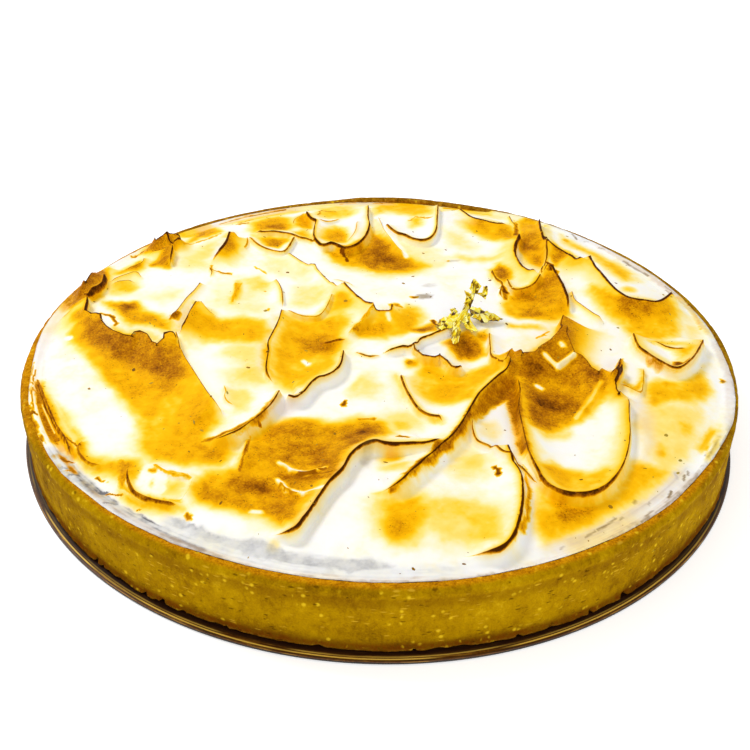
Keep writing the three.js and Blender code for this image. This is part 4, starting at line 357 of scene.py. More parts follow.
    ("g", 0.35, 1.5, [(20, -2), (11.9, -1.9), (10.9, -7.5), (13.8, -11.4), (18, -6)]),
    ("o", 0.72, 0.5, [(10.2, 27.6), (12, 30), (14.5, 31), (16.8, 29.8), (16, 27.6), (12.6, 26.6)]),
    ("o", 0.34, 0.8, [(13.4, 36.4), (15, 38.1), (17.6, 38), (19.2, 36.4), (17, 35), (14.6, 35.2)]),
    ("o", 0.55, 0.7, [(22.3, 55.3), (24.1, 56), (26.7, 56.2), (27.9, 55.6), (26.1, 54.9), (24.1, 54.8)]),
    ("t", 0.74, 0.15, [(38.8, -12.4), (40.8, -13.8), (41.3, -19.9), (40.7, -35.5), (41, -47.4), (41.3, -60.2), (38.7, -56.7), (37.7, -45.2), (36.7, -33.2), (37.1, -23.1)]),
    ("t", 0.6, 1.1, [(-20.6, 60.4), (-15.2, 61.4), (-7.5, 66.4), (-4.5, 63), (-2.9, 50.6), (-11.2, 49.5), (-17.4, 53.2)]),
    ("w", 0.92, 0.5, [(5.9, -71.7), (12.7, -63.2), (18.4, -55.4), (22.3, -47.4), (26.2, -37.9), (26.8, -39.5), (23.2, -50.8), (18.4, -58.7), (13.1, -65.5), (7.6, -72.9)]),
    ("o", 0.34, 0.8, [(-3.1, -57.7), (-0.7, -57.1), (-1.4, -58), (-3.5, -64.8), (-4.9, -61.8)]),
    ("g", 0.6, 0.45, [(-34.1, -93.7), (-27.4, -94.5), (-21.4, -97), (-14.8, -99.1), (-7.5, -99.4), (-1, -100), (4.7, -101.3), (2.2, -102.8), (-6.6, -103.7), (-14.6, -102), (-23.6, -100.4), (-33.6, -98.8)]),
    ("g", 0.58, 0.45, [(-47.4, -89.9), (-44.2, -87.6), (-42.3, -90), (-40.6, -91.2), (-35.8, -92.4), (-31.2, -93.1), (-27.8, -94.1), (-27.5, -99.2), (-35.2, -97.2), (-41.7, -94.6), (-46.8, -92)]),
    ("t", 0.33, 1.1, [(12.3, -78.3), (18.4, -76.9), (31.1, -80.5), (31.2, -95.8), (21.7, -94.5), (15.3, -94.1), (11.9, -89.1)]),
]
# single burnt specks: x, y, radius
SPECKS = [
    (-38, 16.7, 0.9), (54, -68, 0.7), (96, 36.6, 0.7), (-33, 43, 0.7), (82.6, -56.7, 0.7), (35, 78, 0.6),
    (63.5, 29.5, 0.5), (76.2, 12, 0.6), (35, -46, 0.4), (80, -47, 0.8), (-74.3, -18.8, 0.8), (-85.5, -29.3, 0.6),
    (7, 38.2, 0.8), (-11.9, 22.3, 0.9), (24, 21, 0.5), (60.4, -77.6, 0.8),
]
# the rim by compass angle: degrees, radius that the meringue is smeared out to, lift of the pastry's rim, lift of the meringue's edge
EDGE = [(-180, 107.6, 0, 0), (-175, 107.0, 0, 0), (-170, 106.8, 0, 0), (-165, 107.2, 0, 0), (-160, 107.9, 0, 0), (-150, 107.8, 0, 0), (-145, 108.2, 0, 0),
        (-140, 108.0, 0.05, 0.05), (-135, 107.5, 0.1, 0.1), (-130, 107.5, 0.15, 0.15), (-125, 107.3, 0.2, 0.2), (-120, 107.2, 0.3, 0.3), (-115, 106.8, 0.35, 0.35),
        (-110, 106.55, 0.4, 0.4), (-100, 106.55, 0.4, 0.35), (-90, 106.7, 0.4, 0.35), (-80, 106.7, 0.4, 0.35), (-72, 106.5, 0.4, 0.35), (-60, 106.55, 0.4, 0.35),
        (-50, 106.9, 0.3, 0.3), (-45, 106.9, 0.3, 0.3), (-40, 106.6, 0.2, 0.2), (-35, 106.6, 0.1, 0.1), (-30, 107.0, 0, 0), (-25, 107.6, 0, 0), (-20, 108.4, 0, 0),
        (-10, 108.5, 0, 0), (0, 107.7, 0, 0), (10, 107.9, 0.1, 0.1), (20, 107.8, 0.2, 0.2), (30, 107.6, 0.3, 0.3), (40, 107.6, 0.35, 0.35), (45, 107.9, 0.45, 0.45), (50, 108.1, 0.6, 0.6),
        (56, 108.1, 0.8, 0.8), (62, 108.0, 0.9, 0.9), (67, 107.6, 0.8, 0.7), (70, 106.9, 0.75, 0.1), (75, 106.5, 0.8, -0.1), (80, 106.6, 1.0, -0.1), (85, 106.7, 1.2, -0.05),
        (90, 106.6, 1.1, -0.05), (95, 106.5, 0.95, 0), (98, 106.5, 0.5, 0), (100, 106.6, 0.25, -0.1), (105, 106.9, 0.0, -0.25), (110, 107.1, -0.1, -0.35), (115, 107.2, -0.2, -0.4),
        (120, 107.2, -0.2, -0.4), (130, 107.2, -0.2, -0.4), (138, 107.3, -0.3, -0.4), (145, 107.5, -0.3, -0.4), (152, 107.6, -0.2, -0.25), (158, 108.0, -0.1, 0), (168, 107.8, 0, 0),
        (175, 107.8, 0, 0), (180, 107.6, 0, 0)]
# the case isn't quite round: degrees, change of the wall's radius near the rim
ROUND = [(-180, -0.2), (-170, 0.2), (-160, 0.3), (-150, 0.2), (-120, 0), (-60, 0), (-25, -0.3), (-10, -0.2), (0, 0.2), (10, 0.6), (20, 0.8), (30, 0.8), (40, 0.7), (60, 0.6), (75, 0.2), (90, 0.1), (100, -0.1),
         (115, -0.3), (130, -0.5), (150, -0.8), (165, -0.8), (175, -0.4), (180, -0.2)]
# strokes, dirt and painted shade beside the rim: from degrees, radius, to degrees, radius, half width, strength, kind
# (d dark, t torched, g painted shade, k tan, o olive, p pale)
RIMLINE = [(-170, 105.8, -163, 106.6, .16, .8, "d"), (-163, 106.6, -157.5, 106.8, .16, .8, "d"), (-158, 106.8, -157, 106.1, .22, .9, "d"), (-160, 108.0, -150, 107.8, .14, .75, "d"),
           (-173, 106.6, -164, 107.2, .16, .5, "d"), (-167, 104.8, -163, 104.0, .28, .9, "d"), (-163, 104.0, -158, 103.0, .30, .95, "d"), (-158, 103.0, -152, 102.2, .30, .9, "d"),
           (-152, 102.2, -148, 102.0, .25, .8, "d"), (-166, 105.1, -157, 104.8, .55, .78, "t"), (-163, 104.5, -150, 103.6, .75, .80, "t"), (-157, 104.9, -149, 104.2, .6, .74, "t"),
           (-165, 105.5, -150, 105.1, .16, .7, "d"), (-160, 105.9, -150, 105.8, .25, .8, "p"), (-160, 103.9, -152, 103.3, .15, .7, "p"), (-149, 101.5, -145, 99.2, .3, .8, "d"),
           (-144.5, 105.6, -143.2, 103.4, .35, .85, "d"), (-142.8, 107.6, -141.2, 105.6, .35, .8, "g"), (-140.4, 107.4, -139.4, 104.9, .35, .9, "g"), (-141.5, 106.8, -140.8, 105.8, .2, .7, "d"),
           (-137.2, 102.2, -135, 101.4, .22, .85, "d"), (-133, 104.2, -131.5, 101.4, .22, .8, "d"), (-134.5, 106, -133.2, 103.4, .5, .9, "g"), (-131.6, 106.6, -130.4, 104.2, .4, .9, "g"),
           (-127.2, 102.4, -126.8, 101.6, .2, .8, "d"), (-119, 101.4, -118, 99.5, .5, .7, "g"), (-118, 103.2, -108, 102.9, 1.2, .40, "g"), (-116, 101.6, -104, 101.3, 1.1, .34, "g"),
           (-103, 102.6, -92, 102.3, 1.0, .34, "g"), (-96, 101.0, -92, 100.6, .8, .5, "g"), 
           
           (-43.4, 105.1, -41.8, 104.2, .30, .9, "o"), (-38.2, 104.3, -37.0, 103.6, .26, .95, "o"),
           (-36.6, 104.2, -35.8, 103.5, .24, .95, "o"), (-38.6, 106.4, -35.6, 106.2, .24, .8, "o"), (-38.6, 102.6, -37.6, 101.0, .5, .6, "g"), 
           (-9.0, 105.8, -8.6, 104.8, .26, .9, "o"), (-59.6, 103.1, -57.6, 102.5, .18, .7, "o"), (-57.2, 102.4, -55.4, 102.3, .22, .85, "o"), (-55.0, 102.2, -53.2, 101.7, .20, .8, "o"), (-52.9, 102.6, -52.2, 102.3, .18, .7, "o"), (-49.4, 105.7, -47.6, 105.5, .26, .8, "o"), (-47.0, 103.2, -46.4, 102.8, .18, .5, "o"), (-48.4, 100.6, -48.0, 100.2, .18, .6, "o"), (-34.2, 106.4, -32.2, 106.6, .22, .8, "o"), (-30.6, 105.0, -30.0, 104.8, .18, .5, "o"), (-27, 107.5, -24, 107.8, .2, .6, "o"), (-22.6, 107.2, -21.0, 107.4, .16, .6, "o"), (-64.2, 103.8, -63.4, 103.4, .15, .5, "o"), (-6, 107.2, 3, 107.6, .25, .45, "g"), (8, 105.0, 16, 108.3, .30, .5, "t"), (16, 108.0, 18, 108.3, .4, .7, "t"),
           (28, 105.8, 31.5, 105.3, .26, .75, "o"), (31.5, 105.3, 35, 105.5, .30, .85, "o"), (20.5, 107.0, 23.5, 106.6, .2, .55, "o"), (20.2, 105.7, 22.3, 105.5, .2, .6, "o"), (44.6, 106.4, 45.2, 105.6, .25, .6, "o"), (46.8, 105.0, 48.8, 107.0, .26, .8, "o"), (40.6, 106.4, 41.6, 105.8, .22, .6, "o"), (51.5, 107.6, 55.0, 108.2, .26, .6, "o"),
           (72, 106.2, 77, 105.2, .6, .62, "t"), (88, 106.0, 92, 105.2, .7, .66, "t"), (96, 106.0, 99, 105.2, .7, .55, "t"), (87, 103.2, 88, 102.0, .25, .7, "d"),
           (111, 105.0, 119, 104.9, .35, .85, "d"), (119, 104.9, 126, 104.4, .25, .7, "d"), (119.6, 99.6, 123, 99.2, .35, .8, "d"), (79.6, 102.4, 80.4, 101.6, .25, .6, "d")]
# smears and painted shade near the rim: from, to (degrees), inner and outer radius, kind (g painted shade, k tan, t
# torched, s dark streaks, o olive streaks), strength
SMEAR = [(-182, -163, 103.5, 108, "k", .45), (-161, -149, 104.8, 105.9, "t", .75), (-166, -146, 102.3, 105.2, "t", .50), (-159, -150, 106.9, 107.6, "s", .8),
         (-148, -138, 103.0, 108.5, "g", .75), (-146, -139, 104.0, 108.0, "s", .75), (-141, -112, 103.3, 107.4, "g", .85), (-138, -128, 104, 106.5, "s", .35),
         (-122, -95, 99.5, 105.5, "g", .60), (-100, -78, 102, 106, "g", .42), (-135, -60, 105.2, 107.2, "k", .55), (-90, -66, 101, 106, "g", .22),
         (-64, -50, 101.5, 107, "t", .27), (-66, -36, 101.0, 107.2, "k", .60), (-52, -34, 102.0, 106.2, "g", .40), (-62, -34, 101.8, 106.0, "o", .16), (-78, -24, 105.4, 107.6, "o", .75), (-150, -80, 105.6, 107.4, "o", .5), (-24, 4, 107.0, 108.8, "o", .45), (-30, -22, 102.3, 104.3, "t", .50),
         (-32, -24, 105, 107, "t", .28), (-20, 4, 106.0, 108.6, "k", .65), (-12, 20, 105.5, 108.8, "g", .38), (6, 18, 105.3, 107.6, "t", .36), (17, 20, 102, 109, "t", .5),
         (19, 43, 105.3, 108.6, "k", .85), (28, 36, 105.1, 106.1, "g", .75), (19, 27, 105.3, 106.5, "g", .4), (44, 49, 104, 107, "g", .4), (44, 68, 108.6, 110, "g", .95), (51, 55, 107.4, 108.2, "g", .5),
         (57, 100, 101, 108.5, "t", .20), (66, 76, 103, 108, "t", .38), (88, 100, 103.5, 107.4, "k", .8), (95, 113, 98, 107, "t", .24), (108, 132, 102, 107.6, "k", .7),
         (110, 124, 104.8, 106.3, "s", .6), (128, 136, 100, 108, "t", .48), (142, 153, 103, 108.4, "k", .25), (165, 182, 103, 108, "k", .5)]
# crests whose far side stays bare: how much, and how far down
BARE = {"trough_edge": (0.95, 4), "front_lip": (0.9, 5), "torn_lip": (0.9, 2.5), "lip_far_right": (0.85, 3), "peak_right": (0.9, 4), "flap_high": (0.9, 3),
        "lip_top_right": (0.7, 2.5), "crest_right": (0.8, 3), "long_edge_b": (0.7, 3), "mid_lip": (0.95, 5), "edge_top": (0.8, 3), "flap_low": (0.8, 2),
        "crest_mid": (0.8, 2), "petal_front": (0.5, 2.5), "crest_top_c": (0.3, 2), "petal_right": (0.0, 1), "lip_right": (0.6, 2)}
# gold leaf flakes: push of the middle, corners
FLAKES = [
    (0.5, [(17, 4.5, 25.9), (18.5, 9.5, 25.5), (20.8, 9.5, 26.4), (22.8, 6.2, 26.4), (22.5, 4.6, 25.4), (19, 2.5, 25.8)]),
    (-0.5, [(20.4, 10.4, 25.8), (22, 12.1, 26.4), (24.4, 11.7, 27), (25, 7.8, 27.2), (22.8, 6.7, 26.4)]),
    (0.3, [(22.1, 15, 26), (23.5, 15.5, 26.4), (24.5, 12.3, 27), (22.5, 11.5, 26.6)]),
    (0.3, [(27.9, 15.1, 29), (28.9, 14.2, 28.8), (24.8, 5.1, 26.9), (22.7, 2.8, 25.5), (23, 5.5, 26.4)]),
    (0.5, [(22.8, 6.3, 26.5), (24.9, 5.5, 26.7), (25.2, 2.8, 25.6), (24.2, -1.7, 24.1), (22.6, -2.7, 24), (22, -0.8, 24.3)]),
    (-0.5, [(26.6, 8.1, 27.1), (28.2, 7.9, 26.9), (30.7, 4, 25), (28.6, 3.4, 24.7), (26.2, 5.4, 26.2)]),
    (0.5, [(24.1, 12, 26.9), (26.7, 11.9, 27.3), (28.6, 11.2, 26.9), (28.2, 7.7, 26.7), (25.9, 5.8, 26.6), (24.1, 6.6, 26.9)]),
    (0.6, [(28.3, 15.5, 26.5), (31.8, 15.7, 26.8), (34.7, 13.7, 26.2), (34.5, 9.9, 25.3), (32.9, 9.2, 25), (30, 10.2, 25.9), (28.3, 9.8, 26.7)]),
    (0.3, [(34.2, 13.8, 26.1), (36.1, 14, 25.7), (39.3, 12.2, 24.7), (37.6, 11, 24.5), (34.2, 9.8, 25.3)]),
    (0.3, [(26, 13.2, 27.4), (27, 14.9, 29.9), (28.5, 15.6, 32), (29.9, 16, 32.1), (29.3, 13.1, 31), (28, 11.8, 28.3)]),
    (-0.3, [(26.4, 16, 32.8), (28.5, 15.2, 31.9), (28.7, 13.2, 30.9), (26.1, 12.4, 29.7), (27, 15, 30.8)]),
    (0.3, [(29.3, 19.4, 35.1), (30.2, 18.8, 35.3), (29.8, 15.2, 32.3), (28.8, 15.5, 32.1), (28, 16.7, 33.2)]),
    (-0.4, [(29.8, 18.7, 35.3), (31.9, 16.8, 34.1), (30.6, 15, 32.3), (29.3, 15.3, 32.2)]),
    (0.3, [(30.1, 15.1, 32.2), (32.5, 15.5, 32.5), (33.8, 15.2, 32), (33.1, 13.5, 31), (31.5, 15, 31.6)]),
    (0.2, [(31.9, 14.7, 32.4), (32.6, 17.6, 33.7), (33.9, 17.2, 33.7), (33.8, 14.8, 32)]),
]

MER_R, MER_Z0, MER_EDGE, MER_RISE, RELIEF = 106.4, 4.4, 20.8, 2.3, 8.0
LIP = 0.9


# ------------------------------------------------------------------ noise
def value_noise(x, y, seed):
    xi, yi = np.floor(x).astype(np.int64), np.floor(y).astype(np.int64)
    fx, fy = x - xi, y - yi
    fx, fy = fx * fx * (3 - 2 * fx), fy * fy * (3 - 2 * fy)

    def h(a, b):
        n = (a * 374761393 + b * 668265263 + seed * 1442695041) & 0xFFFFFFFF
        n = ((n ^ (n >> 13)) * 1274126177) & 0xFFFFFFFF
        return ((n ^ (n >> 16)) & 0xFFFF) / 65535.0

    return ((h(xi, yi) * (1 - fx) + h(xi + 1, yi) * fx) * (1 - fy)
            + (h(xi, yi + 1) * (1 - fx) + h(xi + 1, yi + 1) * fx) * fy) * 2 - 1


def fbm(x, y, size, seed, octaves=3, gain=0.5):
    total, amp, norm = 0.0, 1.0, 0.0
    for k in range(octaves):
        c, s = math.cos(0.7 * k + 0.3), math.sin(0.7 * k + 0.3)
        total = total + amp * value_noise((x * c - y * s) / size * 2 ** k + 17.3 * k, (x * s + y * c) / size * 2 ** k - 9.1 * k, seed + k)
        norm += amp
        amp *= gain
    return total / norm


def sm(t):
    t = np.clip(t, 0, 1)
    return t * t * (3 - 2 * t)


def outline(X, pts):
    """Signed distance to a closed outline, positive inside."""
    P = np.array(pts)
    best, inside = np.full(len(X), 1e9), np.zeros(len(X), bool)
    for i in range(len(P)):
        a, b = P[i], P[(i + 1) % len(P)]
        d = b - a
        v = X - a
        t = np.clip((v @ d) / max(d @ d, 1e-9), 0, 1)
        q = v - t[:, None] * d
        best = np.minimum(best, q[:, 0] ** 2 + q[:, 1] ** 2)
        up = (a[1] > X[:, 1]) != (b[1] > X[:, 1])
        if abs(d[1]) > 1e-9:
            inside ^= up & (X[:, 0] < a[0] + (X[:, 1] - a[1]) * d[0] / d[1])
    return np.sqrt(best) * np.where(inside, 1.0, -1.0)


def edge_of(a):
    """Radius of the meringue's edge and lift of the rim at an angle in radians."""
    t = np.array(EDGE)
    deg = np.degrees(np.arctan2(np.sin(a), np.cos(a)))
    R, dz, dm = (np.interp(deg, t[:, 0], t[:, k]) for k in (1, 2, 3))
    c, s = np.cos(a) * 40, np.sin(a) * 40
    R = R + 0.30 * fbm(c, s, 1.5, 101) + 0.18 * fbm(c, s, 0.5, 103, 2)
    return np.clip(R, 106.5, 109.3), dz, dm


# ------------------------------------------------------------------ meringue surface
def spline(P, torn, h):
    P = np.array(P, float)
    if torn or len(P) < 3:
        out = [P[0]]
        for a, b in zip(P[:-1], P[1:]):
            n = max(1, int(math.ceil(np.hypot(*(b - a)) / h)))
            out += [a + (b - a) * i / n for i in range(1, n + 1)]
        return np.array(out)
    Q = np.vstack([2 * P[0] - P[1], P, 2 * P[-1] - P[-2]])
    out = [P[0]]
    for i in range(1, len(Q) - 2):
        p0, p1, p2, p3 = Q[i - 1], Q[i], Q[i + 1], Q[i + 2]
        n = max(1, int(math.ceil(np.hypot(*(p2 - p1)) / h)))
        for k in range(1, n + 1):
            t = k / n
            out.append(.5 * ((2 * p1) + (-p0 + p2) * t + (2 * p0 - 5 * p1 + 4 * p2 - p3) * t * t
                             + (-p0 + 3 * p1 - 3 * p2 + p3) * t ** 3))
    return np.array(out)


# burnt line of single strokes: strength, width
LINES = {"petal_right": (0.78, 0.62), "lip_right": (0.80, 0.75), "torn_lip": (1.0, 1.0), "front_lip": (1.0, 0.74), "long_ridge": (1.0, 0.75), "flap_low": (0.95, 1.0),
         "petal_mid": (0.98, 1.0), "flap_high": (1.0, 1.1), "channel_edge": (0.75, 0.65), "petal_top_c": (0.78, 0.75), "edge_top": (0.92, 0.95), "crest_mid": (0.86, 0.62),
         "crest_mid_b": (0.7, 0.65), "lip_far_right": (1.0, 1.0), "lip_top_right": (1.0, 0.95), "peak_left": (0.72, 0.8), "peak_right": (0.95, 1.1), "petal_small": (0.68, 0.55),
         "trough_edge": (0.65, 0.7), "knob_top": (0.95, 1.0), "flap_left": (0.86, 0.72), "crease_right": (0.8, 0.85), "cup_left": (0.82, 0.60), "petal_top_a": (0.9, 0.85),
         "long_edge": (0.75, 0.65), "petal_low": (0.78, 0.7), "petal_top_b": (0.8, 0.7), "petal_front": (1.0, 1.05), "mid_lip": (1.0, 0.66)}
# strokes scorched on the facet's side of the crest
FACET_SIDE = {"lip_far_right", "lip_top_right", "peak_right", "edge_top", "long_edge_b", "petal_top_c", "flap_high", "crease_right"}


class Stroke:
    def __init__(s, row, h=0.8):
        (s.name, s.side, s.A, s.L1, s.L2, s.ta, s.tb, s.torn, s.line, s.lw, s.glow, s.gw, s.wall, pts) = row
        s.line, s.lw = LINES.get(s.name, (s.line, s.lw))
        s.P = spline(pts, s.torn, h)
        d = np.diff(s.P, axis=0)
        s.P = s.P[np.r_[True, np.hypot(d[:, 0], d[:, 1]) > 1e-6]]
        s.d = np.diff(s.P, axis=0)
        s.L = np.hypot(s.d[:, 0], s.d[:, 1])
        s.c = np.r_[0, np.cumsum(s.L)]
        s.T = s.c[-1]
        s.n = s.side * np.c_[-s.d[:, 1] / s.L, s.d[:, 0] / s.L]
        s.lo, s.hi = s.P.min(0), s.P.max(0)

    def near(s, X):
        m = max(s.L1, s.gw * 2.2, s.L2 * 3) + 1
        idx = np.where((X[:, 0] > s.lo[0] - m) & (X[:, 0] < s.hi[0] + m) & (X[:, 1] > s.lo[1] - m) & (X[:, 1] < s.hi[1] + m))[0]
        if len(idx) == 0:
            return None
        x = X[idx]
        best, bj, bt = np.full(len(x), 1e9), np.zeros(len(x), int), np.zeros(len(x))
        for j in range(len(s.d)):
            v = x - s.P[j]
            t = np.clip((v @ s.d[j]) / (s.L[j] ** 2), 0, 1)
            q = v - t[:, None] * s.d[j]
            D = q[:, 0] ** 2 + q[:, 1] ** 2
            k = D < best
            best[k], bj[k], bt[k] = D[k], j, t[k]
        C = s.P[bj] + bt[:, None] * s.d[bj]
        n = s.n[bj].copy()
        k = (bt <= 0) & (bj > 0)
        n[k] = s.n[bj[k] - 1] + s.n[bj[k]]
        k = (bt >= 1) & (bj < len(s.d) - 1)
        n[k] = s.n[bj[k]] + s.n[bj[k] + 1]
        n /= np.maximum(np.hypot(n[:, 0], n[:, 1]), 1e-9)[:, None]
        dist = np.sqrt(best) * np.where(((x - C) * n).sum(1) >= 0, 1., -1.)
        e = np.zeros(len(x))
        k = (bt <= 0) & (bj == 0)
        e[k] = -((x[k] - s.P[0]) @ s.d[0]) / s.L[0]
        k = (bt >= 1) & (bj == len(s.d) - 1)
        e[k] = ((x[k] - s.P[-1]) @ s.d[-1]) / s.L[-1]
        ss = s.c[bj] + bt * s.L[bj]
        f0 = 0.55 if s.ta <= 2 else 0.0
        f1 = 0.55 if s.tb <= 2 else 0.0
        T = (f0 + (1 - f0) * sm(ss / s.ta)) * (f1 + (1 - f1) * sm((s.T - ss) / s.tb)) * sm(1 - np.clip(e, 0, None) / 1.8)
        return idx, dist, ss, n, T


def capsule(X, x0, y0, x1, y1):
    a, d = np.array([x0, y0]), np.array([x1 - x0, y1 - y0])
    t = np.clip(((X - a) @ d) / max(d @ d, 1e-9), 0, 1)
    q = X - a - t[:, None] * d
    return np.hypot(q[:, 0], q[:, 1])


def build_points(strokes):
    cell, grid, pts = 0.8, {}, []

    def add(x, y, dmin, lim=None):
        rr = math.hypot(x, y)
        if rr > (lim or 109.6):
            return
        if lim is None and rr > 105.8:
            k = int((math.atan2(y, x) + math.pi) / (2 * math.pi) * N) % N
            if rr > ring[k] - 0.42:
                return
        gx, gy = int(math.floor(x / cell)), int(math.floor(y / cell))
        for i in (gx - 1, gx, gx + 1):
            for j in (gy - 1, gy, gy + 1):
                for p in grid.get((i, j), ()):
                    if (p[0] - x) ** 2 + (p[1] - y) ** 2 < dmin * dmin:
                        return
        p = (x, y)
        grid.setdefault((gx, gy), []).append(p)
        pts.append(p)

    N = 1080
    ang = np.arange(N) * 2 * math.pi / N - math.pi
    ring = edge_of(ang)[0]
    for a, R in zip(ang, ring):
        add(float(R) * math.cos(a), float(R) * math.sin(a), 0.05, 112)
    fine = []
    for s in strokes:
        q = Stroke(s.row, 0.5)
        n = np.vstack([q.n[:1], q.n[:-1] + q.n[1:], q.n[-1:]])
        n /= np.maximum(np.hypot(n[:, 0], n[:, 1]), 1e-9)[:, None]
        fine.append((q, n))
    for f, w in ((0.0, 0), (1.0, 1), (0.5, 1), (0.22, 1), (0.0, -0.5), (0.76, 1), (0.0, -1.1), (1.3, 1)):
        for q, n in fine:
            off = f * max(q.L2, 1.0) if w == 1 else w
            if w == 1 and off < 0.25:
                continue
            for (x, y) in q.P + n * off:
                add(x, y, 0.33)
    for (x0, y0, x1, y1, hw, st) in DARK + [q for q in PALE if q[4] < 1]:
        L = math.hypot(x1 - x0, y1 - y0)
        n = max(1, int(L / 0.4))
        ux, uy = ((x1 - x0) / L, (y1 - y0) / L) if L > 0.01 else (1.0, 0.0)
        for off in (0.0, 0.42, -0.42):
            for i in range(n + 1):
                add(x0 + (x1 - x0) * i / n - uy * off, y0 + (y1 - y0) * i / n + ux * off, 0.33)
    for (a0, a1, r0) in ((-178, -83, 102.0), (-66, -30, 101.4), (18, 70, 103.0), (103, 131, 102.0)):
        for i in range(int((a1 - a0) * 1.85 / 0.42)):
            a = math.radians(a0 + i * 0.42 / 1.85)
            for j in range(13):
                add((r0 + j * 0.42) * math.cos(a), (r0 + j * 0.42) * math.sin(a), 0.33)
    step = 0.86
    for j in range(-148, 149):
        for i in range(-128, 129):
            add((i + (j & 1) / 2) * step, j * step * 0.866, 0.56)
    return np.array(pts), N


def build_meringue():
    strokes = []
    for row in STROKES:
        s = Stroke(row)
        s.row = row
        strokes.append(s)
    X, N = build_points(strokes)
    vs, es, fs, ov, oe, of = delaunay_2d_cdt([Vector(p) for p in X], [], [], 0, 1e-8)
    X = np.array([(v.x, v.y) for v in vs])
    tris = np.array([f for f in fs if len(f) == 3])
    r = np.hypot(X[:, 0], X[:, 1])
    # heights
    th = np.arctan2(X[:, 1], X[:, 0])
    R_at, rim_lift, lift = edge_of(th)
    z = MER_EDGE + MER_RISE * sm((106.5 - r) / 15)
    for (cx, cy, rx, ry, rot, h) in SWELLS:
        a = math.radians(rot)
        u = ((X[:, 0] - cx) * math.cos(a) + (X[:, 1] - cy) * math.sin(a)) / rx
        v = (-(X[:, 0] - cx) * math.sin(a) + (X[:, 1] - cy) * math.cos(a)) / ry
        z = z + h * np.exp(-(u * u + v * v)) * sm((107.5 - r) / 5)
    f, shift = np.zeros(len(X)), np.zeros((len(X), 2))
    line_d, line_s = np.full(len(X), 6.0), np.zeros(len(X))
    torch3, wall, bare = np.zeros(len(X)), np.zeros(len(X)), np.ones(len(X))
    for s in strokes:
        got = s.near(X)
        if got is None:
            continue
        idx, d, ss, n, T = got
        A = s.A * T
        fac = np.clip(1 + d / s.L1, 0, 1) ** 2 * (d < 0)
        u = np.clip(d / s.L2, 0, 1)
        drop = ((1 - u) ** 1.6 - 0.10 * np.exp(-((d - 1.25 * s.L2) / (0.8 * s.L2)) ** 2)) * (d >= 0)
        f[idx] += A * (fac + drop)
        m = np.where(d < 0, np.exp(-(d / 3.0) ** 2), (1 - u))
        shift[idx] += n * (LIP * np.minimum(1, s.A / 4) * T * m)[:, None]
        # burnt line just under the crest; it widens round the foot of the right petal
        lw = s.lw
        if s.name == "petal_right":
            lw = s.lw * (1 + 1.0 * np.exp(-((X[idx, 0] - 52) / 9) ** 2) * sm((-62 - X[idx, 1]) / 6))
        if s.line > 0:
            rag = 0.35 * fbm(X[idx, 0], X[idx, 1], 3.0, 5) + 0.25 * fbm(X[idx, 0], X[idx, 1], 1.1, 9)
            q = np.abs(d - (-0.22 if s.name in FACET_SIDE else 0.10) * lw) / (lw * (0.43 + 0.32 * rag)) + (1 - T) * 1.2
            k = q < line_d[idx]
            j = idx[k]
            line_d[j] = q[k]
            line_s[j] = s.line
        g = s.glow * T * np.where(d < 0, np.exp(-(d / s.gw) ** 2), np.exp(-(d / (0.35 * s.gw)) ** 2) * 0.8)
        torch3[idx] += g ** 3
        w = 0.7 * min(s.wall, 0.6) * T * sm((d + 0.1) / 0.3) * sm(1 - (d - min(0.8 * s.L2, 0.9)) / 0.8)
        wall[idx] = np.maximum(wall[idx], w)
        # a warm halo along every burnt line
        g = 0.50 * s.line * T * np.exp(-((d + 0.15) / (0.6 * s.lw + 0.55)) ** 2)
        torch3[idx] += g ** 3
        if s.name in BARE:
            c, reach = BARE[s.name]
            bare[idx] *= 1 - c * sm(T * 1.6) * sm(d / 0.5) * sm(1 - (d - reach) / 2.5)
    k = sm((107.0 - r) / 4.5)
    f = RELIEF * np.tanh(f / RELIEF) * k
    shift *= k[:, None]
    rough = np.exp(-(((X[:, 0] + 72) / 20) ** 2 + ((X[:, 1] + 74) / 9) ** 2)) + np.exp(-(((X[:, 0] + 22) / 32) ** 2 + ((X[:, 1] + 98) / 6) ** 2))
    lump = sm((r - 101) / 2.5) * sm((th - math.radians(-152)) / 0.12) * sm((math.radians(-96) - th) / 0.5)
    rough = np.clip(rough + 0.8 * lump, 0, 1)
    # spatula marks that run round beside the rim
    arc = value_noise(r / 0.75 + 60, th * 4.5 + 0.6 * fbm(X[:, 0], X[:, 1], 12, 111), 113) * 0.6 + value_noise(r / 0.4 + 10, th * 9, 117) * 0.4
    side = sm((r - 98.5) / 4) * (0.35 + 0.65 * np.clip(np.cos(th + 0.35), 0, 1))
    crumbly = sm((r - 101.5) / 2) * sm((th - math.radians(-151)) / 0.08) * sm((math.radians(-118) - th) / 0.3)
    z = z + f + (0.45 * crumbly * fbm(X[:, 0], X[:, 1], 1.7, 43) + 0.10 * fbm(X[:, 0], X[:, 1], 9, 21) + 0.05 * fbm(X[:, 0], X[:, 1], 2.6, 31) + 0.40 * rough * fbm(X[:, 0], X[:, 1], 2.6, 41)) * sm((106.2 - r) / 3)
    z = z + 0.16 * arc * side * sm((R_at - r) / 1.2)
    # follow the rim, and lie on it where the meringue was smeared over it
    z = z + lift * sm((r - 96) / 9)
    over = sm((r - 104.6) / 1.7) * sm((R_at - 106.3) / 0.5) * sm((lift - rim_lift + 0.3) / 0.3)
    z = z + over * (0.48 + 0.12 * fbm(X[:, 0], X[:, 1], 2.2, 119) - 0.20 * sm((r - R_at + 0.9) / 0.9))
    P = X + shift
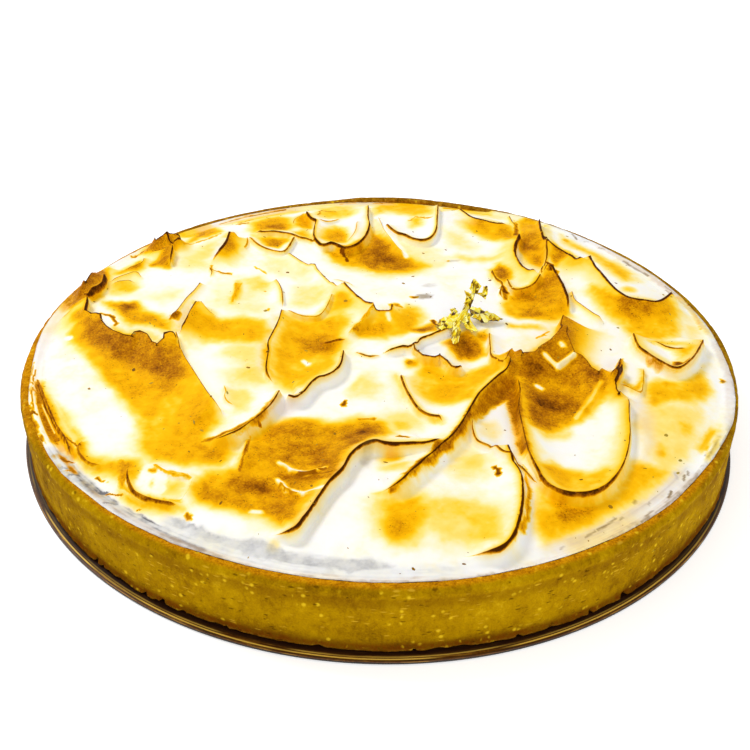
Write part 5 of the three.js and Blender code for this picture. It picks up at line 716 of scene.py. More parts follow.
    # torched patches, with wandering outlines
    wx = P[:, 0] + 1.6 * fbm(P[:, 0], P[:, 1], 8, 51) + 0.6 * fbm(P[:, 0], P[:, 1], 2.5, 61)
    wy = P[:, 1] + 1.6 * fbm(P[:, 0], P[:, 1], 8, 71) + 0.6 * fbm(P[:, 0], P[:, 1], 2.5, 81)
    for (cx, cy, rad, st) in TORCH:
        q = np.hypot(wx - cx, wy - cy) / rad
        torch3 += (st * np.exp(-q ** 3)) ** 3
    # painted shade, tan smears and olive stains, each from 0 to 1
    grey, tan, olive = np.zeros(len(X)), np.zeros(len(X)), np.zeros(len(X))
    W = np.c_[wx, wy] * 0.4 + P * 0.6
    W = W + 0.7 * np.c_[fbm(P[:, 0], P[:, 1], 3.5, 121), fbm(P[:, 0], P[:, 1], 3.5, 123)] + 0.45 * np.c_[fbm(P[:, 0], P[:, 1], 1.2, 125), fbm(P[:, 0], P[:, 1], 1.2, 127)]
    cloud = 1 + 0.22 * fbm(P[:, 0], P[:, 1], 9, 141, 2) + 0.15 * fbm(P[:, 0], P[:, 1], 2.6, 143, 2) + 0.10 * fbm(P[:, 0], P[:, 1], 1.0, 147, 2)
    torch5 = (torch3 ** (1 / 3)) ** 5
    for (kind, st, soft, pts) in POLY:
        q = np.array(pts)
        soft = {"t": 0.9 + 1.7 * soft, "g": 1.9 * soft, "k": 1.6 * soft, "w": 0.2 + 0.9 * soft, "o": 0.25 + 0.6 * soft}[kind]
        lo, hi = q.min(0) - soft - 5, q.max(0) + soft + 5
        k = np.where((W[:, 0] > lo[0]) & (W[:, 0] < hi[0]) & (W[:, 1] > lo[1]) & (W[:, 1] < hi[1]))[0]
        sd = outline(W[k], pts)
        m = st * {"t": 1.05, "w": 1.15}.get(kind, 1.0) * sm((sd + soft) / (2 * soft))
        if kind == "t":
            torch5[k] += (m * cloud[k] * bare[k]) ** 5 + (0.36 * min(st, 0.6) * sm((sd + 4.5) / 7) * cloud[k] * bare[k]) ** 5
        # g: painted shade on the fall side of a crest
        elif kind == "g":
            grey[k] = np.maximum(grey[k], m)
        elif kind == "k":
            tan[k] = np.maximum(tan[k], m)
        elif kind == "o":
            olive[k] = np.maximum(olive[k], m)
        else:
            wall[k] = np.maximum(wall[k], m)
    streak = np.zeros(len(X))
    rim_t, rim_p = np.zeros(len(X)), np.ones(len(X))
    dd = np.degrees(th)
    wr = r + 0.22 * fbm(X[:, 0], X[:, 1], 2.0, 151)
    for (a0, r0, a1, r1, hw, st, kind) in RIMLINE:
        k = np.where((dd > a0 - 3) & (dd < a1 + 3) & (r > min(r0, r1) - 3))[0]
        m = st * (1 - sm((capsule(np.c_[dd[k] * 1.85, wr[k]], a0 * 1.85, r0, a1 * 1.85, r1) - hw * 0.7) / (0.2 + 0.5 * hw)))
        if kind == "d":
            streak[k] = np.maximum(streak[k], m)
        elif kind == "t":
            rim_t[k] = np.maximum(rim_t[k], m)
        # g: painted shade beside the rim
        elif kind == "g":
            grey[k] = np.maximum(grey[k], m)
        elif kind == "k":
            tan[k] = np.maximum(tan[k], m)
        elif kind == "o":
            olive[k] = np.maximum(olive[k], m)
        else:
            rim_p[k] = np.minimum(rim_p[k], 1 - m)
    deg = np.degrees(th) + 1.5 * fbm(X[:, 0], X[:, 1], 5, 131)
    rr = r + 0.7 * fbm(X[:, 0], X[:, 1], 4, 133) + 0.25 * fbm(X[:, 0], X[:, 1], 1.2, 137)
    near_rim = 0.55 + 0.6 * np.clip(arc + 0.5 * fbm(X[:, 0], X[:, 1], 2.2, 139), -1, 1)
    for (a0, a1, r0, r1, kind, st) in SMEAR:
        m = 0
        for turn in (-360, 0, 360):
            m = np.maximum(m, sm((deg + turn - a0) / 3 + 0.5) * sm((a1 - deg - turn) / 3 + 0.5))
        m = m * sm((rr - r0) / 0.9 + 0.5) * sm((r1 - rr) / 0.9 + 0.5) * st
        if kind == "t":
            torch5 += (m * (0.85 + 0.25 * near_rim)) ** 5
        # g: painted shade near the rim
        elif kind == "g":
            grey = np.maximum(grey, m * np.clip(0.35 + 0.8 * near_rim, 0, 1.1))
        elif kind == "k":
            tan = np.maximum(tan, m * np.clip(0.25 + 0.9 * near_rim, 0, 1.2))
        elif kind == "o":
            olive = np.maximum(olive, m * sm(near_rim * 2.0 - 0.9))
        else:
            streak = np.maximum(streak, m * sm(near_rim * 1.7 - 0.45))
    torch = np.maximum(torch5 ** 0.2, rim_t * cloud) * rim_p
    torch *= 1 + 0.06 * fbm(P[:, 0], P[:, 1], 1.6, 93)
    Q = P * 0.92 + W * 0.08
    for (x0, y0, x1, y1, hw, st) in PALE:
        torch *= 1 - st * (1 - sm((capsule(Q, x0, y0, x1, y1) - hw * 0.5) / 0.9))
        wall *= 1 - st * (1 - sm((capsule(Q, x0, y0, x1, y1) - hw * 0.5) / 0.9))
    dark = 1.1 * streak
    for (x0, y0, x1, y1, hw, st) in DARK:
        dark = np.maximum(dark, st * (1 - sm((capsule(W, x0, y0, x1, y1) - hw * 0.6) / 0.5)))
    # close the body down to the pastry floor
    verts = np.c_[P, z]
    edge = np.where(r > R_at - 0.06)[0]
    edge = edge[np.argsort(th[edge])]
    verts[edge, 0:2] = X[edge]
    n0 = len(verts)
    unit = X[edge] / r[edge][:, None]
    under = 20.85 + np.minimum(lift, rim_lift)[edge]
    rings = [np.c_[unit * (r[edge] - 0.08)[:, None], np.minimum(under, z[edge] - 0.05)], np.c_[unit * 106.40, np.minimum(under, z[edge] - 0.08)], np.c_[unit * 106.38, np.full(len(edge), MER_Z0)]]
    verts = np.vstack([verts, *rings, [[0, 0, MER_Z0]]])
    area = np.cross(X[tris[:, 1]] - X[tris[:, 0]], X[tris[:, 2]] - X[tris[:, 0]])
    tris[area < 0] = tris[area < 0][:, ::-1]
    faces = [tuple(int(q) for q in t) for t in tris]
    M = len(edge)
    for k in range(M):
        k1 = (k + 1) % M
        a, b = int(edge[k]), int(edge[k1])
        for i in range(3):
            c, d = n0 + i * M + k, n0 + i * M + k1
            faces.append((a, c, d, b))
            a, b = c, d
        faces.append((n0 + 3 * M, b, a))
    pad = len(verts) - n0
    attrs = {"torch": torch, "line_d": line_d, "line_s": line_s, "wall": wall, "dark": dark, "grey": grey, "tan": tan, "olive": olive}
    attrs = {k: np.r_[v, np.zeros(pad) + (6.0 if k == "line_d" else 0.0)] for k, v in attrs.items()}
    return verts, faces, attrs, n0


def make_mesh(name, verts, faces, attrs=None, smooth=True):
    me = bpy.data.meshes.new(name)
    me.from_pydata((np.asarray(verts, float) * MM).tolist(), [], faces)
    me.validate()
    me.update()
    for k, v in (attrs or {}).items():
        a = me.attributes.new(k, "FLOAT", "POINT")
        a.data.foreach_set("value", np.asarray(v, np.float32))
    me.polygons.foreach_set("use_smooth", [smooth] * len(me.polygons))
    ob = bpy.data.objects.new(name, me)
    bpy.context.scene.collection.objects.link(ob)
    return ob


# ------------------------------------------------------------------ node helpers
class Mat:
    def __init__(s, name):
        s.m = bpy.data.materials.new(name)
        s.m.use_nodes = True
        s.t = s.m.node_tree
        s.t.nodes.clear()
        s.out = s.t.nodes.new("ShaderNodeOutputMaterial")
        s.b = s.t.nodes.new("ShaderNodeBsdfPrincipled")
        s.t.links.new(s.b.outputs[0], s.out.inputs[0])
        s.coord = s.t.nodes.new("ShaderNodeTexCoord").outputs["Object"]

    def link(s, a, b):
        s.t.links.new(a, b)

    def val(s, sock, v):
        if isinstance(v, bpy.types.NodeSocket):
            s.link(v, sock)
        else:
            sock.default_value = v

    def math(s, op, a, b=0.0, c=0.0, clamp=False):
        n = s.t.nodes.new("ShaderNodeMath")
        n.operation = op
        n.use_clamp = clamp
        s.val(n.inputs[0], a)
        s.val(n.inputs[1], b)
        if op in ("MULTIPLY_ADD",):
            s.val(n.inputs[2], c)
        return n.outputs[0]

    def attr(s, name):
        n = s.t.nodes.new("ShaderNodeAttribute")
        n.attribute_name = name
        return n.outputs["Fac"]

    def noise(s, scale, detail=2.0, rough=0.5, vec=None, stretch=None):
        v = vec or s.coord
        if stretch:
            mp = s.t.nodes.new("ShaderNodeMapping")
            mp.inputs["Scale"].default_value = stretch
            s.link(v, mp.inputs["Vector"])
            v = mp.outputs[0]
        n = s.t.nodes.new("ShaderNodeTexNoise")
        n.inputs["Scale"].default_value = scale
        n.inputs["Detail"].default_value = detail
        n.inputs["Roughness"].default_value = rough
        s.link(v, n.inputs["Vector"])
        return n.outputs["Fac"]

    def voronoi(s, scale, vec=None):
        n = s.t.nodes.new("ShaderNodeTexVoronoi")
        n.inputs["Scale"].default_value = scale
        s.link(vec or s.coord, n.inputs["Vector"])
        return n.outputs["Distance"]

    def ramp(s, fac, stops, mode="LINEAR"):
        n = s.t.nodes.new("ShaderNodeValToRGB")
        n.color_ramp.interpolation = mode
        e = n.color_ramp.elements
        while len(e) > 1:
            e.remove(e[-1])
        e[0].position, e[0].color = stops[0][0], stops[0][1]
        for p, c in stops[1:]:
            q = e.new(p)
            q.color = c
        s.val(n.inputs["Fac"], fac)
        return n.outputs["Color"]

    def range(s, v, a, b, c=0.0, d=1.0, smooth=True):
        n = s.t.nodes.new("ShaderNodeMapRange")
        n.interpolation_type = "SMOOTHSTEP" if smooth else "LINEAR"
        s.val(n.inputs["Value"], v)
        n.inputs["From Min"].default_value, n.inputs["From Max"].default_value = a, b
        n.inputs["To Min"].default_value, n.inputs["To Max"].default_value = c, d
        return n.outputs["Result"]

    def mix(s, fac, a, b, blend="MIX"):
        n = s.t.nodes.new("ShaderNodeMix")
        n.data_type = "RGBA"
        n.blend_type = blend
        s.val(n.inputs["Factor"], fac)
        s.val(n.inputs[6], a)
        s.val(n.inputs[7], b)
        return n.outputs[2]

    def bump(s, h, dist, strength=1.0, normal=None):
        n = s.t.nodes.new("ShaderNodeBump")
        n.inputs["Strength"].default_value = strength
        n.inputs["Distance"].default_value = dist
        s.val(n.inputs["Height"], h)
        if normal is not None:
            s.link(normal, n.inputs["Normal"])
        return n.outputs[0]


def rgb(r, g, b):
    def f(c):
        c /= 255
        return c / 12.92 if c <= 0.04045 else ((c + 0.055) / 1.055) ** 2.4
    return (f(r), f(g), f(b), 1.0)


# ------------------------------------------------------------------ meringue material
def meringue_material():
    m = Mat("meringue_torched")
    torch = m.attr("torch")
    mott = m.noise(330, 3, 0.6)
    grain = m.noise(1500, 2, 0.6)
    t = m.math("ADD", torch, m.math("MULTIPLY", torch, m.math("MULTIPLY_ADD", mott, 0.26, -0.13)))
    # fine grain where it is browned, coarser where it is browned most
    wash = m.math("MULTIPLY", m.range(m.noise(75, 3, 0.6), 0.38, 0.66), m.math("MULTIPLY_ADD", mott, 0.16, 0.04))
    t = m.math("ADD", t, m.math("MULTIPLY", wash, m.range(torch, 0.0, 0.40, 1.0, 0.0)))
    brown = m.range(torch, 0.42, 0.9)
    t = m.math("ADD", t, m.math("MULTIPLY", brown, m.math("MULTIPLY_ADD", grain, 0.62, -0.30)))
    wall = m.attr("wall")
    t = m.math("MAXIMUM", t, m.math("MULTIPLY", wall, m.math("ADD", m.math("MULTIPLY_ADD", mott, 0.7, 0.4), m.math("MULTIPLY_ADD", grain, 0.6, -0.15))))
    ln = m.math("MULTIPLY", m.range(m.attr("line_d"), 0.35, 1.75, 1.0, 0.0), m.attr("line_s"))
    ln = m.math("MULTIPLY", ln, m.range(mott, 0.3, 0.62, 0.74, 1.0))
    ln = m.math("MULTIPLY", ln, m.math("MULTIPLY_ADD", grain, 0.5, 0.82))
    t = m.math("MAXIMUM", t, m.math("MULTIPLY", ln, 1.54))
    t = m.math("MAXIMUM", t, m.math("MULTIPLY", m.attr("dark"), m.math("MULTIPLY_ADD", mott, 0.5, 0.85)))
    col = m.ramp(m.math("DIVIDE", t, 1.3), [
        (0.0, rgb(250, 249, 247)), (0.07, rgb(252, 249, 234)), (0.14, rgb(254, 242, 196)), (0.22, rgb(255, 228, 128)), (0.31, rgb(255, 210, 56)),
        (0.38, rgb(253, 192, 10)), (0.46, rgb(242, 174, 0)), (0.54, rgb(220, 151, 0)), (0.62, rgb(197, 128, 0)),
        (0.72, rgb(172, 104, 0)), (0.84, rgb(128, 70, 0)), (0.97, rgb(74, 36, 0))])
    # painted shade of cool neutral colour, and pinkish smears
    shade = m.math("MULTIPLY", m.attr("grey"), m.range(mott, 0.2, 0.75, 1.35, 0.95))
    clear = m.range(t, 0.30, 0.80, 1.0, 0.0)
    col = m.mix(m.math("MULTIPLY", m.math("MULTIPLY", shade, 1.0, clamp=True), clear), col, m.mix(m.math("MULTIPLY", shade, shade), rgb(222, 221, 221), rgb(112, 110, 112)))
    smear = m.math("MULTIPLY", m.attr("tan"), m.range(mott, 0.25, 0.7, 0.8, 1.05))
    col = m.mix(m.math("MULTIPLY", m.math("MULTIPLY", smear, 1.0, clamp=True), clear), col, rgb(226, 204, 184))
    # small olive-brown stains
    col = m.mix(m.math("MULTIPLY", m.attr("olive"), m.range(mott, 0.25, 0.65, 0.55, 1.0)), col, rgb(128, 98, 38))
    # small dark granules in the browned parts
    v = m.voronoi(1500)
    gate = m.math("MULTIPLY", m.range(m.noise(620, 1, 0.5), 0.47, 0.58), m.range(torch, 0.48, 0.72))
    spot = m.math("MULTIPLY", m.range(v, 0.16, 0.34, 1.0, 0.0), gate)
    col = m.mix(m.math("MULTIPLY", spot, 0.78), col, rgb(96, 54, 1))
    m.link(col, m.b.inputs["Base Color"])
    m.link(m.range(torch, 0.0, 0.9, 0.62, 0.5), m.b.inputs["Roughness"])
    m.link(m.range(t, 0.1, 0.5, 0.32, 0.02), m.b.inputs["Specular IOR Level"])
    m.b.inputs["Subsurface Weight"].default_value = 0.08
    m.b.inputs["Subsurface Radius"].default_value = (0.0030, 0.0022, 0.0012)
    m.b.inputs["Subsurface Scale"].default_value = 1.0
    h = m.math("ADD", m.math("MULTIPLY", m.noise(260, 2, 0.5), 0.5), m.math("MULTIPLY", m.math("MULTIPLY", grain, brown), 0.35))
    m.link(m.bump(h, 0.00035, 0.6), m.b.inputs["Normal"])
    return m.m


verts, faces, attrs, n_top = build_meringue()
meringue = make_mesh("meringue_top", verts, faces, attrs)
meringue.data.materials.append(meringue_material())
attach(meringue, "root")
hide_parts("meringue")


# ------------------------------------------------------------------ burnt flecks lying on the meringue
def build_flecks(ob, torch):
    rng = random.Random(23)
    me = ob.data
    co = np.array([v.co for v in me.vertices]) / MM
    no = np.array([v.normal for v in me.vertices])
    top = len(torch)
    r = np.hypot(co[:top, 0], co[:top, 1])
    usable = np.where((r < 104.5) & (no[:top, 2] > 0.6))[0]
    spots = []
    while len(spots) < 400:
        i = int(usable[rng.randrange(len(usable))])
        if rng.random() < 0.18 + 1.3 * min(torch[i], 0.7) ** 2 * 1.6 and torch[i] < 1.0:
            u = rng.random()
            size = 0.16 + 0.26 * u if u < 0.80 else rng.uniform(0.45, 1.0)
            spots.append((i, size, rng.uniform(0, math.pi), rng.uniform(0.25, 0.6)))
    for (x, y, rad) in SPECKS:
        i = int(np.argmin((co[:top, 0] - x) ** 2 + (co[:top, 1] - y) ** 2))
        spots.append((i, rad * 1.1, rng.uniform(0, math.pi), rng.uniform(0.55, 0.9)))
    verts, faces = [], []
    for (i, size, ang, slim) in spots:
        n = Vector(no[i])
        t = n.orthogonal().normalized()
        t = Matrix.Rotation(ang, 3, n) @ t
        b = n.cross(t)
        c = Vector(co[i]) + n * 0.0
        k0, K = len(verts), 6
        for h, f in ((-0.12, 1.0), (0.07, 0.8)):
            for k in range(K):
                a = 2 * math.pi * k / K
                q = f * rng.uniform(0.7, 1.15)
                verts.append(tuple(c + t * (size * q * math.cos(a)) + b * (size * slim * q * math.sin(a)) + n * h))
        verts.append(tuple(c - n * 0.12))
        verts.append(tuple(c + n * 0.10))
        for k in range(K):
            k1 = (k + 1) % K
            faces.append((k0 + k, k0 + k1, k0 + K + k1, k0 + K + k))
            faces.append((k0 + 2 * K, k0 + k1, k0 + k))
            faces.append((k0 + 2 * K + 1, k0 + K + k, k0 + K + k1))
    return verts, faces


def fleck_material():
    m = Mat("burnt_flecks")
    a = m.noise(70, 1, 0.5)
    col = m.ramp(a, [(0.36, rgb(122, 80, 2)), (0.47, rgb(156, 112, 8)), (0.56, rgb(184, 146, 30)), (0.66, rgb(160, 140, 56))])
    m.link(col, m.b.inputs["Base Color"])
    m.b.inputs["Roughness"].default_value = 0.6
    m.b.inputs["Specular IOR Level"].default_value = 0.1
    return m.m


V, F = build_flecks(meringue, attrs["torch"][:n_top])
flecks = make_mesh("burnt_flecks", V, F, smooth=False)
flecks.data.materials.append(fleck_material())
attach(flecks, "root")


# ------------------------------------------------------------------ pastry case
def revolve(profile, segs, shape):
    """Rings of [radius, height, kind] turned round the axis; the first and last lie on the axis."""
    n = len(profile)
    a = np.arange(segs) * 2 * math.pi / segs
    verts, faces = [np.array([[0, 0, profile[0][1]]])], []
    for i in range(1, n - 1):
        r, z = shape(profile[i], a)
        verts.append(np.c_[r * np.cos(a), r * np.sin(a), z + 0 * a])
    verts.append(np.array([[0, 0, profile[-1][1]]]))
    V = np.vstack(verts)
    top = len(V) - 1

    def q(i, k):
        return 1 + (i - 1) * segs + k % segs
    for k in range(segs):
        faces.append((0, q(1, k + 1), q(1, k)))
        faces.append((top, q(n - 2, k), q(n - 2, k + 1)))
    for i in range(1, n - 2):
        for k in range(segs):
            faces.append((q(i, k), q(i, k + 1), q(i + 1, k + 1), q(i + 1, k)))
    return V, faces


def build_shell():
    prof = [(0, 0.95, "flat"), (60, 0.95, "flat"), (106.5, 0.95, "flat"), (108.5, 0.95, "foot0"), (109.2, 1.0, "foot"), (109.65, 1.22, "foot"), (109.8, 1.6, "foot"), (109.68, 2.0, "foot")]
    for k in range(44):
        z = 2.4 + (19.3 - 2.4) * k / 43
        prof.append((109.45 + 0.5 * (z - 2.7) / 17.6, z, "wall"))
    prof += [(109.9, 19.6, "lip"), (109.78, 19.95, "lip"), (109.55, 20.3, "lip"), (109.2, 20.62, "lip"), (108.75, 20.85, "rim"), (108.3, 20.97, "rim"), (107.8, 21.0, "rim"), (107.3, 21.0, "rim"),
             (106.85, 20.98, "rim"), (106.58, 20.85, "in"), (106.47, 20.5, "in"), (106.45, 19.5, "in"), (106.45, 12, "in0"), (106.45, 4.1, "flat"), (0, 4.1, "flat")]
    rng = random.Random(7)
    chips = [(rng.uniform(0, 360), rng.uniform(0.5, 1.9), rng.uniform(0.15, 0.7)) for _ in range(58)]
    chips += [(227, 0.5, 1.6), (228.5, 0.4, 0.9), (237, 0.45, 1.2), (240, 0.6, 1.9), (250, 0.3, 0.8), (289, 0.4, 1.0), (300, 0.4, 1.5), (306, 0.7, 2.0), (275, 0.35, 0.9)]
    nicks = [(rng.uniform(0, 360), rng.uniform(0.3, 1.0), rng.uniform(0.15, 0.45)) for _ in range(46)]
    pits = [(rng.uniform(-170, -10), rng.uniform(3.5, 19), rng.uniform(0.25, 0.9), rng.uniform(0.15, 0.4), rng.uniform(0.2, 0.5)) for _ in range(240)]

    def dent(a, table):
        deg = np.degrees(a)
        c = np.zeros_like(a)
        for (d0, half, deep) in table:
            d = np.abs(deg - d0)
            d = np.minimum(d, 360 - d)
            c = np.maximum(c, deep * sm(1.2 - d / half))
        return c

    def pit(a, z):
        s = np.degrees(a)
        c = np.zeros_like(a)
        for (d0, z0, hw, hh, deep) in pits:
            if abs(z - z0) < hh * 1.5:
                d = np.abs(((s - d0 + 180) % 360) - 180) * 1.92
                c = np.maximum(c, deep * sm(1.3 - np.hypot(d / hw, (z - z0) / hh)))
        return c

    def shape(row, a):
        r, z, kind = row
        tab = np.array(ROUND)
        out = np.interp(np.degrees(np.arctan2(np.sin(a), np.cos(a))), tab[:, 0], tab[:, 1]) * sm((z - 5) / 12)
        wob = out + 0.12 * np.sin(5 * a + 1) + 0.08 * np.sin(11 * a + 0.4) + 0.05 * np.sin(23 * a)
        if kind == "flat":
            return r + 0 * a, z + 0 * a
        lift = edge_of(a)[1]
        rise = lift * sm((z - 14) / 6)
        per = lambda size, seed, oct=3: fbm_ring(a, z, size, seed, oct)
        if kind == "foot0":
            return r - 0.5 * dent(a, chips) + wob, z + 0 * a
        if kind == "foot":
            return r - 0.45 * dent(a, chips) + wob + 0.22 * per(2.4, 3) + 0.10 * per(0.9, 5, 2), z + 0.42 * dent(a, chips) * (z < 1.7) + 0.08 * per(1.2, 8)
        if kind == "wall":
            low = sm(1 - (z - 1.8) / 2.0)
            rr = r + wob + 0.16 * per(7.0, 11) + 0.08 * per(1.6, 15, 2) - 0.20 * np.clip(per(2.6, 19, 2) - 0.35, 0, 1)
            return rr - 0.3 * low * dent(a, chips) - pit(a, z), z + rise
        if kind == "lip":
            return r + wob * 0.8 + 0.08 * per(2.2, 23) - 0.3 * dent(a, nicks), z - 0.08 + rise + 0.06 * per(3.0, 27) - 0.3 * dent(a, nicks)
        if kind == "rim":
            return r + wob * sm((r - 106.3) / 2.5), z - 0.08 + rise + 0.09 * per(3.0, 31) + 0.06 * per(1.0, 37, 2) - 0.30 * dent(a, nicks)
        if kind == "in":
            return r + 0.02 * per(3.0, 41), z - 0.05 + rise + 0.08 * per(4.0, 31)
        return r + 0 * a, z + 0 * a

    def fbm_ring(a, z, size, seed, octaves):
        # seamless round the ring: the angle is blended with its copy one turn back
        s = a * 110.0
        full = 2 * math.pi * 110.0
        n1 = fbm(s, np.full_like(s, z), size, seed, octaves)
        n2 = fbm(s - full, np.full_like(s, z), size, seed, octaves)
        w = sm((s - (full - 12)) / 12)
        return n1 * (1 - w) + n2 * w

    return revolve(prof, 1400, shape)


def pastry_material():
    m = Mat("pastry_crust")
    sep = m.t.nodes.new("ShaderNodeSeparateXYZ")
    m.link(m.coord, sep.inputs[0])
    x, y, z = sep.outputs
    rad = m.math("SQRT", m.math("ADD", m.math("MULTIPLY", x, x), m.math("MULTIPLY", y, y)))
    big = m.noise(55, 3, 0.6)
    mid = m.noise(420, 4, 0.65)
    fine = m.noise(1800, 3, 0.7)
    hair = m.noise(520, 3, 0.65, stretch=(1, 1, 0.5))
    side = m.math("ADD", m.math("MULTIPLY", big, 0.42), m.math("ADD", m.math("MULTIPLY", mid, 0.18), m.math("MULTIPLY", m.math("ADD", fine, hair), 0.20)))
    col = m.ramp(side, [(0.36, rgb(110, 76, 0)), (0.43, rgb(138, 98, 0)), (0.50, rgb(164, 122, 0)), (0.57, rgb(180, 138, 0)), (0.66, rgb(206, 164, 16))])
    # darker bands: painted shade under the overhang of the rim, and a darker band at the foot
    foot = m.range(z, 0.0018, 0.0060, 1.0, 0.0)
    under = m.math("MULTIPLY", m.range(z, 0.0140, 0.0172), m.range(z, 0.0182, 0.0194, 1.0, 0.0))
    col = m.mix(m.math("MULTIPLY", foot, 0.70), col, rgb(90, 44, 4))
    col = m.mix(m.math("MULTIPLY", under, 0.42), col, rgb(116, 72, 0))
    # paler patches along the lowest 2 mm of the foot
    toe = m.math("MULTIPLY", m.range(z, 0.0014, 0.0022, 1.0, 0.0), m.range(mid, 0.42, 0.60))
    col = m.mix(m.math("MULTIPLY", toe, 0.6), col, rgb(190, 146, 40))
    # warmer, lighter rim
    rim = m.math("MULTIPLY", m.range(z, 0.0184, 0.0197), m.range(m.math("ADD", rad, m.math("MULTIPLY_ADD", mid, 0.0016, -0.0008)), 0.1078, 0.1094, 1.0, 0.0))
    left = m.math("MULTIPLY", m.range(x, -0.100, -0.092, 1.0, 0.0), m.range(z, 0.0197, 0.0204))
    rim = m.math("MAXIMUM", rim, left)
    rimcol = m.ramp(m.math("ADD", m.math("MULTIPLY", mid, 0.5), m.math("MULTIPLY", fine, 0.5)), [(0.36, rgb(146, 90, 0)), (0.48, rgb(188, 122, 2)), (0.58, rgb(216, 148, 8)), (0.68, rgb(238, 182, 40))])
    # behind and at the right the rim is browner
    back = m.math("MAXIMUM", m.range(y, -0.035, 0.01), m.range(x, 0.088, 0.098))
    back = m.math("MULTIPLY", back, m.range(x, -0.09, -0.07))
    darkrim = m.ramp(m.math("ADD", m.math("MULTIPLY", mid, 0.6), m.math("MULTIPLY", fine, 0.4)), [(0.36, rgb(102, 62, 0)), (0.5, rgb(150, 100, 6)), (0.66, rgb(192, 142, 36))])
    rimcol = m.mix(back, rimcol, darkrim)
    col = m.mix(rim, col, rimcol)
    # pale crumbs and dark pits
    crumb = m.math("MULTIPLY", m.range(m.voronoi(430), 0.10, 0.36, 1.0, 0.0), m.range(m.noise(210, 1, 0.5), 0.54, 0.62))
    col = m.mix(m.math("MULTIPLY", crumb, 0.80), col, rgb(232, 192, 30))
    mp = m.t.nodes.new("ShaderNodeMapping")
    mp.inputs["Scale"].default_value = (0.45, 0.45, 1.5)
    m.link(m.coord, mp.inputs["Vector"])
    dash = m.math("MULTIPLY", m.range(m.voronoi(560, mp.outputs[0]), 0.10, 0.24, 1.0, 0.0), m.range(m.noise(380, 1, 0.5), 0.50, 0.58))
    col = m.mix(m.math("MULTIPLY", dash, 0.6), col, rgb(82, 50, 0))
    # short pale scratches that run round the case
    mq = m.t.nodes.new("ShaderNodeMapping")
    mq.inputs["Scale"].default_value = (0.36, 0.36, 1.7)
    m.link(m.coord, mq.inputs["Vector"])
    graze = m.math("MULTIPLY", m.range(m.voronoi(640, mq.outputs[0]), 0.12, 0.30, 1.0, 0.0), m.range(m.noise(150, 2, 0.5), 0.52, 0.60))
    col = m.mix(m.math("MULTIPLY", graze, 0.55), col, rgb(222, 176, 44))
    # a red-brown crumbly line along the foot
    heel = m.math("MULTIPLY", m.range(z, 0.0026, 0.0044, 1.0, 0.0), m.range(m.math("ADD", m.math("MULTIPLY", mid, 0.5), m.math("MULTIPLY", fine, 0.5)), 0.44, 0.54))
    col = m.mix(m.math("MULTIPLY", heel, 0.55), col, rgb(112, 42, 0))
    m.link(col, m.b.inputs["Base Color"])
    m.b.inputs["Roughness"].default_value = 0.85
    m.b.inputs["Specular IOR Level"].default_value = 0.02
    h = m.math("ADD", m.math("MULTIPLY", fine, 0.5), m.math("SUBTRACT", m.math("ADD", mid, m.math("MULTIPLY", hair, 0.7)), m.math("MULTIPLY", dash, 0.8)))
    m.link(m.bump(h, 0.0006, 0.7), m.b.inputs["Normal"])
    return m.m


V, F = build_shell()
shell = make_mesh("pastry_case", V, F)
shell.data.materials.append(pastry_material())
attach(shell, "root")
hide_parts("tart_shell")


